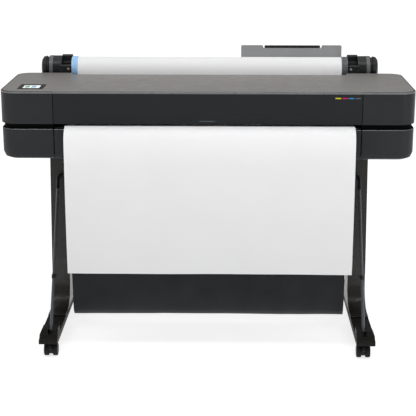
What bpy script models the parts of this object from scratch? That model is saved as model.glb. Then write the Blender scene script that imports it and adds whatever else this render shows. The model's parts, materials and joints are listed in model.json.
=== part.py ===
"""A large format inkjet plotter on its wheeled stand, as separate pieces.

Metres, +Z up, -Y towards the person at the front, +X to that person's right. The origin is on
the floor, under the middle of the whole machine's box. A "depth" is a distance behind the
printer's front faces, so most side profiles are lists of (depth, height).
"""

import math

import bmesh
import bpy
from mathutils import Matrix, Vector

# ---------------------------------------------------------------- driving dimensions
WIDTH = 1.317  # printer housing, side to side
DEPTH = 0.605  # foot, front end to rear end
HEIGHT = 0.932  # floor to the sheet tray's top edge
FOOT_AHEAD = 0.122  # how far the feet reach in front of the printer
FRONT = -DEPTH / 2 + FOOT_AHEAD  # Y of the printer's front faces
GAP = 0.0003  # kept between pieces that touch
WALL = 0.003  # moulded housings
SHEET = 0.002  # folded steel
FLAT = math.radians(0.5)  # faces closer in angle than this are one face

# Housing
HALF = WIDTH / 2
SEAM = 0.4868  # the end caps start here, each side of the middle
OVERRUN = 0.06  # a cap's blank reaches this far past the seam, before it is trimmed there
FRONT_CORNER = 0.055  # plan radii of the end caps
REAR_CORNER = 0.045
CAP_REAR = 0.390  # depth of the end caps
MIDDLE_REAR = 0.352  # the middle stops short, to make room for the roll
NOTCH = 0.470  # half width of that notch in the top panel
TOP = 0.8473
UPPER_BOTTOM = 0.744
LOWER_TOP = 0.7276
LOWER_BOTTOM = 0.628
LOWER_INSET = 0.001  # the lower housing is this much smaller all round
BASE_ROUND = 0.022  # rounding along the bottom edge of the lower housing
RIM = 0.0045  # rim of the caps round the top panel
PANEL_THICK = 0.0034
PANEL_FRONT = 0.0088
CAP_ROOF = TOP - PANEL_THICK - 0.0003  # top of the caps' roof, under the panel
LID_PIVOT = (0.0042, 0.843)  # depth and height of the front cover's hinge line
LID_ROUND = 0.004

# Paper path
PAPER = 0.9144
SHEET_THICK = 0.0005
PLATEN_TOP = 0.7308
ROLLER = (0.2065, 0.7190)
ROLLER_R = 0.012
PINCH_R = 0.006
ROLL_X = 0.0  # middle of the roll and its holders
SHEET_CREEP = 0.0075  # how far the sheet has moved sideways by the time it hangs
ROLL_AXIS = (0.4348, 0.856)
ROLL_R = 0.040
HUB_R = 0.042
DRUM_R = 0.0442
CORE_R = 0.0254
ROD_R = 0.008
JOURNAL_R = 0.0125
HOLDER_INNER = 0.4805
HOLDER_OUTER = 0.5835
CRADLE_WIDTH = 0.036

# Stand
LEG_IN, LEG_OUT = 0.481, 0.541
LEG_TOP = 0.6277
LEG_KNEE = 0.224  # height where the leg's front edge changes its slope
FLANGE = 0.004  # thickness of the leg's flared base
FOOT_BOTTOM, FOOT_TOP = 0.046, 0.066
CASTER_X = 0.505
CASTERS = {"front": (-0.0955, 0.014), "rear": (0.4580, -0.014)}  # axle depth, swivel offset
WHEEL_R = 0.021
WHEEL_GAP, WHEEL_OUT = 0.0068, 0.022
HOOD_HALF = 0.006
HOOD_R = 0.0155
HOOD_TOP = 0.043
STEM_R = 0.005
BIN_X = 0.506
BIN_PIVOT = (-0.080, 0.083)
BIN_TOP = (0.200, 0.531)
TUBE_R = 0.005
ELBOW_R = 0.0068
BEND = 0.018
BRACE_DEPTH, BRACE_HEIGHT = (0.270, 0.310), (0.540, 0.600)
REAR_BAR = (0.300, 0.480)
FABRIC_HALF = 0.465

# Mechanism: the pairs are (depth, height)
BULKHEAD = 0.6275
CHASSIS_LOW = LOWER_BOTTOM + WALL + 0.0013
DRIVE_X = -0.600  # where the feed belt runs
MOTOR = (0.150, 0.682)
MOTOR_PULLEY_R = 0.010
FEED_PULLEY_R = 2 * MOTOR_PULLEY_R
PULLEY_WIDTH = 0.010
BELT_THICK = 0.0014
PAPER_BED = PLATEN_TOP + 0.0006  # underside of the sheet on the platen
CARRIAGE_X = 0.560
CARRIAGE_WIDTH = 0.105
RAIL_LIP = (0.7965, 0.8005)  # the lip's lower and upper faces
RAIL_FRONT, RAIL_REAR = 0.262, 0.300
RAIL_LOW, RAIL_HIGH = 0.767, 0.830
LIP_FRONT = 0.244
CARTRIDGE_PITCH = 0.0255
CARTRIDGE_BASE = 0.6620

# Sheet tray: panel and extension, left and right edges
TRAY = (0.110, 0.462)
TRAY_NOTCH = (0.189, 0.390)
EXTENSION = (0.192, 0.387)

# Power: left, right, low and high edges of the two windows
INLET = (0.560, 0.588, 0.665, 0.685)
SWITCH = (0.602, 0.614, 0.666, 0.684)

# ---------------------------------------------------------------- scene and finishes
for old in list(bpy.data.objects):
    bpy.data.objects.remove(old, do_unlink=True)

PARTS = bpy.data.collections.new("large_format_plotter")
CUTTERS = bpy.data.collections.new("cutters")
for group in (PARTS, CUTTERS):
    bpy.context.scene.collection.children.link(group)

# sRGB colour 0-255, roughness, metallic
FINISHES = {
    "housing": ((54, 55, 57), 0.42, 0.0),
    "cover": ((45, 47, 49), 0.35, 0.0),
    "panel": ((146, 143, 140), 0.48, 0.0),
    "black": ((22, 23, 25), 0.45, 0.0),
    "steel": ((48, 46, 44), 0.45, 0.6),
    "zinc": ((150, 152, 155), 0.35, 0.9),
    "tube": ((78, 81, 84), 0.35, 0.8),
    "rubber": ((24, 24, 25), 0.8, 0.0),
    "paper": ((250, 250, 251), 0.7, 0.0),
    "fabric": ((38, 39, 42), 0.9, 0.0),
    "blue": ((165, 208, 243), 0.4, 0.0),
    "tray": ((140, 141, 142), 0.5, 0.0),
    "screen": ((70, 72, 74), 0.2, 0.0),
    "yellow": ((225, 205, 40), 0.4, 0.0),
    "magenta": ((205, 60, 140), 0.4, 0.0),
    "cyan": ((60, 160, 215), 0.4, 0.0),
}


def linear(channel):
    value = channel / 255
    return value / 12.92 if value <= 0.04045 else ((value + 0.055) / 1.055) ** 2.4


def finish(obj, kind):
    """Each piece gets a material of its own, from the finish of its kind."""
    colour, roughness, metallic = FINISHES[kind]
    material = bpy.data.materials.new(obj.name + "_finish")
    material.use_nodes = True
    shader = material.node_tree.nodes["Principled BSDF"]
    shader.inputs["Base Color"].default_value = (*map(linear, colour), 1.0)
    shader.inputs["Roughness"].default_value = roughness
    shader.inputs["Metallic"].default_value = metallic
    obj.data.materials.clear()
    obj.data.materials.append(material)


# ---------------------------------------------------------------- shape helpers
def point(x, depth, height):
    return Vector((x, FRONT + depth, height))


def new_object(name, mesh, kind=None):
    """A piece when it has a kind of finish, and otherwise a cutter or a helper for a union."""
    obj = bpy.data.objects.new(name, mesh)
    if kind:
        PARTS.objects.link(obj)
        finish(obj, kind)
    else:
        CUTTERS.objects.link(obj)
        obj.hide_render = True
        obj.display_type = "WIRE"
    return obj


def set_origin(obj, where):
    """Moves the object's origin to a joint's axis and leaves its shape in place."""
    obj.data.transform(Matrix.Translation(-Vector(where)))
    obj.location = where


def block(name, x, depth, height, kind=None, bevel=0.0, segments=2):
    """A box from three (low, high) pairs, with its edges rounded."""
    sizes = [pair[1] - pair[0] for pair in (x, depth, height)]
    centre = point(*[(pair[0] + pair[1]) / 2 for pair in (x, depth, height)])
    shape = bmesh.new()
    matrix = Matrix.Translation(centre) @ Matrix.Diagonal((*sizes, 1.0))
    bmesh.ops.create_cube(shape, size=1.0, matrix=matrix)
    mesh = bpy.data.meshes.new(name)
    shape.to_mesh(mesh)
    shape.free()
    obj = new_object(name, mesh, kind)
    if bevel:
        add_bevel(obj, bevel, segments)
    return obj


def add_bevel(obj, width, segments=2, angle=40):
    modifier = obj.modifiers.new("rounded edges", "BEVEL")
    modifier.width = width
    modifier.segments = segments
    modifier.limit_method = "ANGLE"
    modifier.angle_limit = math.radians(angle)


TURNS = {
    "X": Matrix(((0, 0, 1), (1, 0, 0), (0, 1, 0))).to_4x4(),
    "Y": Matrix(((1, 0, 0), (0, 0, -1), (0, 1, 0))).to_4x4(),
    "Z": Matrix.Identity(4),
}


def rod(name, axis, centre, radius, length, kind=None, sides=32):
    """A cylinder about its centre point, along X, Y or Z."""
    shape = bmesh.new()
    bmesh.ops.create_cone(
        shape, cap_ends=True, segments=sides, radius1=radius, radius2=radius, depth=length,
        matrix=Matrix.Translation(centre) @ TURNS[axis],
    )
    mesh = bpy.data.meshes.new(name)
    shape.to_mesh(mesh)
    shape.free()
    obj = new_object(name, mesh, kind)
    mesh.shade_smooth()
    mesh.set_sharp_from_angle(angle=math.radians(35))
    return obj


def turned(name, profile, centre, kind=None, steps=40):
    """A shape turned about a line along X, from a closed loop of (offset, radius) points."""
    mesh = bpy.data.meshes.new(name)
    places = [(radius, 0.0, offset) for offset, radius in profile]
    turns = zip(places, places[1:] + places[:1])
    if sum(a[0] * b[2] - b[0] * a[2] for a, b in turns) > 0:
        places.reverse()
    edges = [(i, (i + 1) % len(places)) for i in range(len(places))]
    mesh.from_pydata(places, edges, [])
    obj = new_object(name, mesh, kind)
    screw = obj.modifiers.new("turn", "SCREW")
    screw.axis = "Z"
    screw.steps = screw.render_steps = steps
    screw.use_merge_vertices = True
    screw.merge_threshold = 1e-5
    screw.use_smooth_shade = False
    obj.matrix_world = Matrix.Translation(centre) @ TURNS["X"]
    return obj


def rounded(corners, fineness=0.004):
    """Points of an outline whose corners (u, v, radius) become arcs."""
    outline = []
    for i, (u, v, radius) in enumerate(corners):
        here = Vector((u, v))
        if not radius:
            outline.append(here)
            continue
        before = (Vector(corners[i - 1][:2]) - here).normalized()
        after = (Vector(corners[(i + 1) % len(corners)][:2]) - here).normalized()
        half = before.angle(after) / 2
        centre = here + (before + after).normalized() * radius / math.sin(half)
        start = here + before * radius / math.tan(half) - centre
        end = here + after * radius / math.tan(half) - centre
        sweep = start.angle_signed(end)
        count = max(2, min(10, round(abs(sweep) * radius / fineness)))
        for step in range(count + 1):
            turn = Matrix.Rotation(-sweep * step / count, 2)
            outline.append(centre + turn @ start)
    return outline


def mesh_of_curve(name, curve):
    """The curve's own mesh, with its loose caps welded on."""
    source = bpy.data.objects.new(name, curve)
    bpy.context.scene.collection.objects.link(source)
    bpy.context.view_layer.update()
    evaluated = source.evaluated_get(bpy.context.evaluated_depsgraph_get())
    mesh = bpy.data.meshes.new_from_object(evaluated)
    mesh.name = name
    bpy.data.objects.remove(source, do_unlink=True)
    shape = bmesh.new()
    shape.from_mesh(mesh)
    bmesh.ops.remove_doubles(shape, verts=shape.verts, dist=1e-6)
    shape.to_mesh(mesh)
    shape.free()
    return mesh


def spline_on(curve, points, cyclic):
    spline = curve.splines.new("POLY")
    spline.points.add(len(points) - 1)
    for target, place in zip(spline.points, points):
        target.co = (*place, 1.0)
    spline.use_cyclic_u = cyclic


def extrusion(name, outline, axis, low, high, kind=None):
    """An outline pushed along an axis: along X it is (depth, height), along Z it is (x, depth)."""
    curve = bpy.data.curves.new(name, "CURVE")
    curve.dimensions = "2D"
    curve.fill_mode = "BOTH"
    curve.extrude = (high - low) / 2
    spline_on(curve, [(u, v, 0.0) for u, v in outline], cyclic=True)
    mesh = mesh_of_curve(name, curve)
    middle = (low + high) / 2
    along = {"X": point(middle, 0, 0), "Y": point(0, middle, 0), "Z": point(0, 0, middle)}
    mesh.transform(Matrix.Translation(along[axis]) @ TURNS[axis])
    shape = bmesh.new()
    shape.from_mesh(mesh)
    bmesh.ops.dissolve_limit(shape, angle_limit=FLAT, verts=shape.verts, edges=shape.edges)
    bmesh.ops.recalc_face_normals(shape, faces=shape.faces)
    shape.to_mesh(mesh)
    shape.free()
    return new_object(name, mesh, kind)


def ribbon(name, path, centre_x, half_width, thickness, kind):
    """A sheet that follows (depth, height) points and is straight from side to side."""
    curve = bpy.data.curves.new(name, "CURVE")
    curve.dimensions = "3D"
    curve.extrude = half_width
    spline_on(curve, [(u, v, 0.0) for u, v in path], cyclic=False)
    mesh = mesh_of_curve(name, curve)
    mesh.transform(Matrix.Translation(point(centre_x, 0, 0)) @ TURNS["X"])
    obj = new_object(name, mesh, kind)
    shell = obj.modifiers.new("thickness", "SOLIDIFY")
    shell.thickness = thickness
    shell.offset = 0.0
    shell.use_even_offset = True
    return obj


def tube(name, places, radius, kind):
    """A round bar along world points."""
    curve = bpy.data.curves.new(name, "CURVE")
    curve.dimensions = "3D"
    curve.bevel_depth = radius
    curve.bevel_resolution = 2
    curve.use_fill_caps = True
    spline_on(curve, places, cyclic=False)
    mesh = mesh_of_curve(name, curve)
    mesh.shade_smooth()
    mesh.set_sharp_from_angle(angle=math.radians(50))
    return new_object(name, mesh, kind)


def boolean(obj, other, operation):
    modifier = obj.modifiers.new(operation.lower() + " " + other.name, "BOOLEAN")
    modifier.object = other
    modifier.operation = operation
    modifier.solver = "EXACT"


def cut(obj, *cutters):
    for cutter in cutters:
        boolean(obj, cutter, "DIFFERENCE")


def join(obj, *others):
    for other in others:
        boolean(obj, other, "UNION")


def smooth_path(knots, step):
    """Points about a step apart on the smooth (Catmull-Rom) curve through the knots."""
    ends = [2 * Vector(knots[0]) - Vector(knots[1]), 2 * Vector(knots[-1]) - Vector(knots[-2])]
    line = [ends[0], *map(Vector, knots), ends[1]]
    path = []
    for a, b, c, d in zip(line, line[1:], line[2:], line[3:]):
        count = max(1, round((c - b).length / step))
        for i in range(count):
            t = i / count
            path.append(
                0.5 * (2 * b + (c - a) * t + (2 * a - 5 * b + 4 * c - d) * t**2
                       + (3 * b - a - 3 * c + d) * t**3)
            )
    return [*path, line[-2]]


def mirrored(low, high, side):
    """The pair (low, high) on the side's own half: side is -1 for left and +1 for right."""
    return (low, high) if side > 0 else (-high, -low)


SIDES = {"left": -1, "right": 1}


# ---------------------------------------------------------------- housing
def cap_plan(side, inset, seam=SEAM, front=None):
    """Plan outline of an end cap, a distance inside its outer faces."""
    outer = HALF - inset
    start = inset if front is None else front
    corners = [
        (seam, start, 0),
        (outer, start, max(FRONT_CORNER - inset, 0.004)),
        (outer, CAP_REAR - inset, max(REAR_CORNER - inset, 0.004)),
        (seam, CAP_REAR - inset, 0),
    ]
    return [(side * x, y) for x, y in rounded(corners, 0.007)]


def cavity_plan(side, inset, notch_wall=WALL, open_x=SEAM - 0.01):
    """Plan of a cap's hollow: open at the seam, and walled where the roll's notch begins."""
    outer = HALF - inset
    corners = [
        (open_x, inset, 0),
        (outer, inset, FRONT_CORNER - inset),
        (outer, CAP_REAR - inset, REAR_CORNER - inset),
        (SEAM + notch_wall, CAP_REAR - inset, 0),
        (SEAM + notch_wall, MIDDLE_REAR - notch_wall, 0),
        (open_x, MIDDLE_REAR - notch_wall, 0),
    ]
    return [(side * x, y) for x, y in rounded(corners, 0.007)]


def round_rim(obj, height, width, segments):
    """Rounds the outline's edges at one height."""
    shape = bmesh.new()
    shape.from_mesh(obj.data)
    edges = [
        edge for edge in shape.edges if all(abs(v.co.z - height) < 1e-6 for v in edge.verts)]
    bmesh.ops.bevel(
        shape, geom=edges, offset=width, segments=segments, profile=0.5, affect="EDGES",
        clamp_overlap=False,
    )
    shape.to_mesh(obj.data)
    shape.free()


def cap_blank(name, side, inset, low, high):
    """A solid end cap that reaches past the seam, and the block that trims it there."""
    cap = extrusion(name, cap_plan(side, inset, SEAM - OVERRUN), "Z", low, high, "housing")
    trim = block(
        name + "_trim", mirrored(SEAM - 2 * OVERRUN, SEAM, side), (-0.05, CAP_REAR + 0.05),
        (low - 0.05, high + 0.05))
    return cap, trim


def upper_cap(name, side):
    cap, trim = cap_blank(name, side, 0, UPPER_BOTTOM, TOP)
    round_rim(cap, TOP, 0.0035, 3)
    hollow = extrusion(
        name + "_hollow", cavity_plan(side, WALL), "Z", UPPER_BOTTOM - 0.01, CAP_ROOF - WALL)
    recess = extrusion(
        name + "_recess", cap_plan(side, RIM, SEAM - 0.01, PANEL_FRONT - GAP), "Z",
        CAP_ROOF, TOP + 0.01)
    socket = rod(name + "_socket", "X", point(side * SEAM, *LID_PIVOT), 0.0019, 0.016, sides=16)
    cut(cap, trim, hollow, recess, socket)


def lower_cap(name, side):
    cap, trim = cap_blank(name, side, LOWER_INSET, LOWER_BOTTOM, LOWER_TOP)
    round_rim(cap, LOWER_BOTTOM, BASE_ROUND, 2)
    round_rim(cap, LOWER_TOP, 0.0015, 1)
    step = LOWER_BOTTOM + BASE_ROUND + 0.002
    hollow = extrusion(
        name + "_hollow", cavity_plan(side, LOWER_INSET + WALL), "Z", step, LOWER_TOP + 0.01)
    sump = extrusion(
        name + "_sump", cavity_plan(side, BASE_ROUND), "Z", LOWER_BOTTOM + WALL + 0.001,
        step + 0.001)
    cut(cap, trim, hollow, sump)
    return cap


def gap_trim(name, side):
    """The dark band set back in the groove between the upper and lower housings."""
    low, high = LOWER_TOP - 0.005, UPPER_BOTTOM + 0.005
    back = 0.0085
    plan = cavity_plan(side, back, back, SEAM + GAP)
    trim = extrusion(name, plan, "Z", low, high, "black")
    inner = back + WALL
    hollow = extrusion(
        name + "_hollow", cavity_plan(side, inner, inner), "Z", low - 0.01, high + 0.01)
    cut(trim, hollow)


def front_cover():
    """The hinged front cover: its round top edge turns about the hinge line."""
    depth, height = LID_PIVOT
    inside = LID_PIVOT[0] - LID_ROUND + WALL
    arc = [
        (depth + LID_ROUND * math.cos(math.radians(a)),
         height + LID_ROUND * math.sin(math.radians(a)))
        for a in range(180, -76, -15)
    ]
    bottom = UPPER_BOTTOM + 0.0004
    outline = [
        (depth - LID_ROUND, bottom), *arc, (inside, height - LID_ROUND), (inside, bottom + 0.0025),
        (0.012, bottom + 0.0025), (0.012, bottom),
    ]
    half = SEAM - 0.0006
    cover = extrusion("front_cover", outline, "X", -half, half, "cover")
    for name, side in SIDES.items():
        stub = rod(
            "cover_pin_" + name, "X", point(side * (half + 0.002), depth, height), 0.0015, 0.010,
            sides=12)
        join(cover, stub)
    set_origin(cover, point(0, depth, height))


def lower_front():
    """The front of the lower housing between the end caps, with its lip over the exit slot."""
    edge = LOWER_INSET
    chamfer = 0.0015
    turn = BASE_ROUND * (1 - math.sqrt(0.5))
    outline = [
        (edge + chamfer, LOWER_TOP), (edge, LOWER_TOP - chamfer),
        (edge, LOWER_BOTTOM + BASE_ROUND), (edge + turn, LOWER_BOTTOM + turn),
        (edge + BASE_ROUND, LOWER_BOTTOM), (0.060, LOWER_BOTTOM), (0.060, LOWER_BOTTOM + WALL),
        (edge + BASE_ROUND + 0.001, LOWER_BOTTOM + WALL),
        (edge + turn + 0.0022, LOWER_BOTTOM + turn + 0.0022),
        (edge + WALL, LOWER_BOTTOM + BASE_ROUND + 0.001), (edge + WALL, LOWER_TOP - WALL),
        (0.018, LOWER_TOP - WALL), (0.018, LOWER_TOP),
    ]
    half = SEAM - 0.0004
    extrusion("lower_front", outline, "X", -half, half, "housing")


def top_panel():
    """One grey panel over the whole printer, notched at the back for the roll."""
    outer = HALF - RIM - GAP
    rear = CAP_REAR - RIM - GAP
    right = [
        (outer, PANEL_FRONT, FRONT_CORNER - RIM), (outer, rear, REAR_CORNER - RIM),
        (NOTCH, rear, 0.006), (NOTCH, MIDDLE_REAR, 0.004),
    ]
    left = [(-x, y, radius) for x, y, radius in reversed(right)]
    outline = rounded([*right, *left], 0.007)
    panel = extrusion("top_panel", outline, "Z", TOP - PANEL_THICK, TOP, "panel")
    hole = block(
        "panel_window", (-0.6073, -0.5257), (0.0477, 0.1383), (TOP - 0.01, TOP + 0.01))
    cut(panel, hole)


def control_panel():
    bezel = block(
        "control_panel", (-0.607, -0.526), (0.048, 0.138), (CAP_ROOF + GAP, TOP + 0.0006),
        "screen", 0.0008, 1)
    glass = block(
        "screen_recess", (-0.5925, -0.539), (0.066, 0.118), (TOP + 0.0002, TOP + 0.005))
    cut(bezel, glass)


def chassis():
    """Folded steel: a floor, a rear wall up to the paper slot and a bulkhead at each end."""
    low = CHASSIS_LOW
    front, rear = 0.0603, 0.3462
    end = BULKHEAD + SHEET
    floor = block("chassis", (-end, end), (front, rear - 0.0002), (low, low + SHEET), "zinc")
    wall_half = SEAM - 0.003
    wall = block("chassis_rear", (-wall_half, wall_half), (rear - SHEET, rear), (low, 0.768))
    join(floor, wall)
    for name, side in SIDES.items():
        plate = block(
            "bulkhead_" + name, mirrored(BULKHEAD, end, side), (front, 0.3380),
            (low + 0.001, CAP_ROOF - WALL - 0.004))
        axle_hole = rod(
            "axle_hole_" + name, "X", point(side * BULKHEAD, *ROLLER), 0.007, 0.03, sides=16)
        join(floor, plate)
        cut(floor, axle_hole)


def rear_cover():
    """Closes the back above the slot where the paper goes in."""
    roof = CAP_ROOF
    outline = [
        (MIDDLE_REAR, 0.797), (MIDDLE_REAR, roof), (0.318, roof), (0.318, roof - WALL),
        (MIDDLE_REAR - WALL, roof - WALL), (MIDDLE_REAR - WALL, 0.797),
    ]
    half = SEAM - 0.0004
    extrusion("rear_cover", outline, "X", -half, half, "housing")


# ---------------------------------------------------------------- paper path and mechanism
def platen():
    outline = [
        (0.0185, PLATEN_TOP), (0.192, PLATEN_TOP), (0.192, PLATEN_TOP - 0.016),
        (0.189, PLATEN_TOP - 0.016), (0.189, PLATEN_TOP - WALL), (0.0215, PLATEN_TOP - WALL),
        (0.0215, PLATEN_TOP - 0.016), (0.0185, PLATEN_TOP - 0.016),
    ]
    extrusion("platen", outline, "X", -SEAM + 0.001, SEAM - 0.001, "black")


def feed_roller():
    """Rubbered roller on a steel shaft, with the driven pulley at its left end."""
    centre = point(0, *ROLLER)
    roller = rod("feed_roller", "X", centre, ROLLER_R, 2 * 0.470, "rubber", 28)
    shaft = rod("feed_shaft", "X", centre, 0.005, 2 * 0.634, sides=16)
    pulley = rod(
        "feed_pulley", "X", point(DRIVE_X, *ROLLER), FEED_PULLEY_R, PULLEY_WIDTH, sides=28)
    join(roller, shaft, pulley)
    set_origin(roller, centre)


def pinch_rollers():
    """Free rollers on one shaft that hold the sheet down on the feed roller."""
    height = PAPER_BED + SHEET_THICK + GAP + PINCH_R
    centre = point(0, ROLLER[0], height)
    shaft = rod("pinch_rollers", "X", centre, 0.002, 2 * 0.588, "rubber", 10)
    places = [-0.40, -0.24, -0.08, 0.08, 0.24, 0.40]
    for number, x in enumerate(places):
        wheel = rod(
            f"pinch_wheel_{number}", "X", point(x, ROLLER[0], height), PINCH_R, 0.050, sides=14)
        join(shaft, wheel)
    set_origin(shaft, centre)


def feed_drive():
    """Motor, its pulley and the belt to the feed roller's pulley."""
    depth, height = MOTOR
    motor = rod("feed_motor", "X", point(-0.565, depth, height), 0.021, 0.044, "zinc", 24)
    foot_half = 0.018
    plate = block(
        "motor_foot", (-0.585, -0.545), (depth - foot_half, depth + foot_half),
        (CHASSIS_LOW + SHEET + GAP, height))
    bore = rod("motor_bore", "X", point(-0.5870, depth, height), 0.0036, 0.010, sides=16)
    join(motor, plate)
    cut(motor, bore)
    middle = point(DRIVE_X, depth, height)
    pulley = rod("motor_pulley", "X", middle, MOTOR_PULLEY_R, PULLEY_WIDTH, "zinc", 24)
    stub = rod("motor_shaft", "X", middle + Vector((0.0055, 0, 0)), 0.003, 0.014, sides=16)
    join(pulley, stub)
    set_origin(pulley, middle)
    low, high = DRIVE_X - 0.004, DRIVE_X + 0.004
    belt = extrusion("feed_belt", belt_loop(GAP + BELT_THICK), "X", low, high, "rubber")
    hollow = extrusion("feed_belt_hollow", belt_loop(GAP), "X", low - 0.01, high + 0.01)
    cut(belt, hollow)


def belt_loop(offset, turn_points=14):
    """Outline round both pulleys, a distance outside them, joined by their outer tangents."""
    big, small = Vector(ROLLER), Vector(MOTOR)
    line = small - big
    base = math.atan2(line.y, line.x)
    lean = math.acos((FEED_PULLEY_R - MOTOR_PULLEY_R) / line.length)
    loop = []
    for centre, radius, start, sweep in (
        (big, FEED_PULLEY_R + offset, base + lean, 2 * math.pi - 2 * lean),
        (small, MOTOR_PULLEY_R + offset, base - lean, 2 * lean),
    ):
        for i in range(turn_points + 1):
            angle = start + sweep * i / turn_points
            loop.append(centre + radius * Vector((math.cos(angle), math.sin(angle))))
    return loop


def carriage_rail():
    """Aluminium beam with the lip that the carriage rides on."""
    outline = [
        (LIP_FRONT, RAIL_LIP[0]), (RAIL_FRONT, RAIL_LIP[0]), (RAIL_FRONT, RAIL_LOW),
        (RAIL_REAR, RAIL_LOW), (RAIL_REAR, RAIL_HIGH), (RAIL_FRONT, RAIL_HIGH),
        (RAIL_FRONT, RAIL_LIP[1]), (LIP_FRONT, RAIL_LIP[1]),
    ]
    half = BULKHEAD - GAP
    rail = extrusion("carriage_rail", outline, "X", -half, half, "zinc")
    core = block(
        "rail_core", (-HALF, HALF), (RAIL_FRONT + WALL, RAIL_REAR - WALL),
        (RAIL_LOW + WALL, RAIL_HIGH - WALL))
    cut(rail, core)


def print_carriage():
    """Carriage with the print head under it and a grooved arm that hooks on the rail's lip."""
    x = (CARRIAGE_X - CARRIAGE_WIDTH / 2, CARRIAGE_X + CARRIAGE_WIDTH / 2)
    outline = rounded(
        [(0.080, 0.744, 0.004), (0.100, 0.7365, 0), (0.184, 0.7365, 0), (0.184, 0.786, 0),
         (0.256, 0.786, 0), (0.256, 0.816, 0.003), (0.096, 0.816, 0.012)], 0.003)
    carriage = extrusion("print_carriage", outline, "X", *x, "black")
    add_bevel(carriage, 0.0012, 1, 60)
    groove = block(
        "lip_groove", (x[0] - 0.01, x[1] + 0.01), (LIP_FRONT - 0.0008, 0.27),
        (RAIL_LIP[0] - 0.0005, RAIL_LIP[1] + 0.0005))
    head = block("print_head", (x[0] + 0.02, x[1] - 0.02), (0.106, 0.176), (0.7348, 0.740))
    cut(carriage, groove)
    join(carriage, head)
    set_origin(carriage, point(CARRIAGE_X, LIP_FRONT, sum(RAIL_LIP) / 2))


def carriage_belt():
    """The toothed belt's loop along the rail, seen as a plain band."""
    half, low, high = 0.612, 0.806, 0.824
    radius = (high - low) / 2 - 0.0001

    def loop(inset):
        ends = [(-half + inset, low + inset), (half - inset, low + inset),
                (half - inset, high - inset), (-half + inset, high - inset)]
        return rounded([(*end, radius - inset) for end in ends], 0.002)

    band = extrusion("carriage_belt", loop(0), "Y", 0.2573, 0.2608, "rubber")
    hollow = extrusion("carriage_belt_hollow", loop(BELT_THICK), "Y", 0.24, 0.28)
    cut(band, hollow)


def service_station():
    """Where the carriage parks: two caps for the print head, a wiper slot and the ink's shelf."""
    left, right = 0.506, 0.614
    station = block(
        "service_station", (left, right), (0.086, 0.182), (CHASSIS_LOW + SHEET + GAP, 0.7300),
        "black", 0.002, 1)
    shelf = block(
        "ink_shelf", (left - 0.002, right + 0.002), (0.026, 0.0880),
        (CARTRIDGE_BASE - GAP - WALL, CARTRIDGE_BASE - GAP))
    join(station, shelf)
    for number, x in enumerate((0.545, 0.575)):
        cap = block(f"head_cap_{number}", (x - 0.011, x + 0.011), (0.112, 0.170), (0.728, 0.7342))
        cup = block(f"head_cup_{number}", (x - 0.008, x + 0.008), (0.115, 0.167), (0.7310, 0.74))
        join(station, cap)
        cut(station, cup)
    wiper = block("wiper_slot", (0.515, 0.530), (0.110, 0.172), (0.7240, 0.74))
    cut(station, wiper)


def ink_cartridges():
    for number, colour in enumerate(("yellow", "magenta", "cyan", "black")):
        low = 0.506 + CARTRIDGE_PITCH * number
        body = block(
            "ink_cartridge_" + colour, (low, low + 0.022), (0.026, 0.0795),
            (CARTRIDGE_BASE, 0.7200), colour, 0.0015, 1)
        grip = block(
            "cartridge_grip_" + colour, (low - 0.01, low + 0.03), (0.020, 0.030), (0.700, 0.712))
        cut(body, grip)


def paper_knots():
    """From the roll, through the printer, over the front lip and down to the cut edge."""
    slope = math.radians(19.4)
    reach = ROLL_R + GAP + SHEET_THICK
    start = Vector(ROLL_AXIS) + reach * Vector((math.sin(slope), -math.cos(slope)))
    on_platen = PAPER_BED + SHEET_THICK / 2
    way = Vector((-math.cos(slope), -math.sin(slope)))
    leave = 0.225
    reach_in = (start.x - 0.262) / math.cos(slope)
    return [
        start, start + way * reach_in * 0.5, start + way * reach_in,
        (leave, on_platen + 0.0036), (ROLLER[0], on_platen), (0.150, on_platen),
        (0.105, on_platen), (0.060, on_platen + 0.0022), (0.010, on_platen + 0.0058),
        (-0.012, on_platen + 0.0054), (-0.032, on_platen - 0.0032), (-0.045, 0.711),
        (-0.0500, 0.684), (-0.0520, 0.630), (-0.0560, 0.480), (-0.0550, 0.340),
        (-0.0515, 0.257),
    ]


def paper_sheet():
    sheet = ribbon(
        "paper_sheet", smooth_path(paper_knots(), 0.012), ROLL_X, PAPER / 2, SHEET_THICK, "paper")
    straight_to, crept_by = point(0, 0.225, 0).y, point(0, -0.020, 0).y
    for vertex in sheet.data.vertices:
        way = (straight_to - vertex.co.y) / (straight_to - crept_by)
        vertex.co.x += SHEET_CREEP * min(1, max(0, way))


# ---------------------------------------------------------------- roll and its holders
def roll():
    """Spindle, its two end hubs and the roll of paper: they all turn together."""
    axis = point(ROLL_X, *ROLL_AXIS)
    spindle = rod("spindle_rod", "X", axis, ROD_R, 2 * 0.480, "black", 24)
    for name, side in SIDES.items():
        journal = rod(
            "journal_" + name, "X", axis + Vector((side * 0.4955, 0, 0)), JOURNAL_R, 0.0320,
            sides=32)
        join(spindle, journal)
    set_origin(spindle, axis)
    end = PAPER / 2 + GAP
    for name, side, kind in (("left", -1, "blue"), ("right", 1, "black")):
        outline = [
            (end, HUB_R - 0.0015), (end + 0.0015, HUB_R), (0.4765, HUB_R), (0.4785, HUB_R - 0.002),
            (0.4785, ROD_R + GAP), (end - 0.028, ROD_R + GAP), (end - 0.028, CORE_R - 0.0012),
            (end - 0.025, CORE_R - GAP), (end, CORE_R - GAP),
        ]
        turned("hub_" + name, [(side * x, radius) for x, radius in outline], axis, kind, 30)
    profile = [(-PAPER / 2, ROLL_R), (PAPER / 2, ROLL_R), (PAPER / 2, CORE_R), (-PAPER / 2, CORE_R)]
    turned("paper_roll", profile, axis, "paper", 48)


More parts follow.
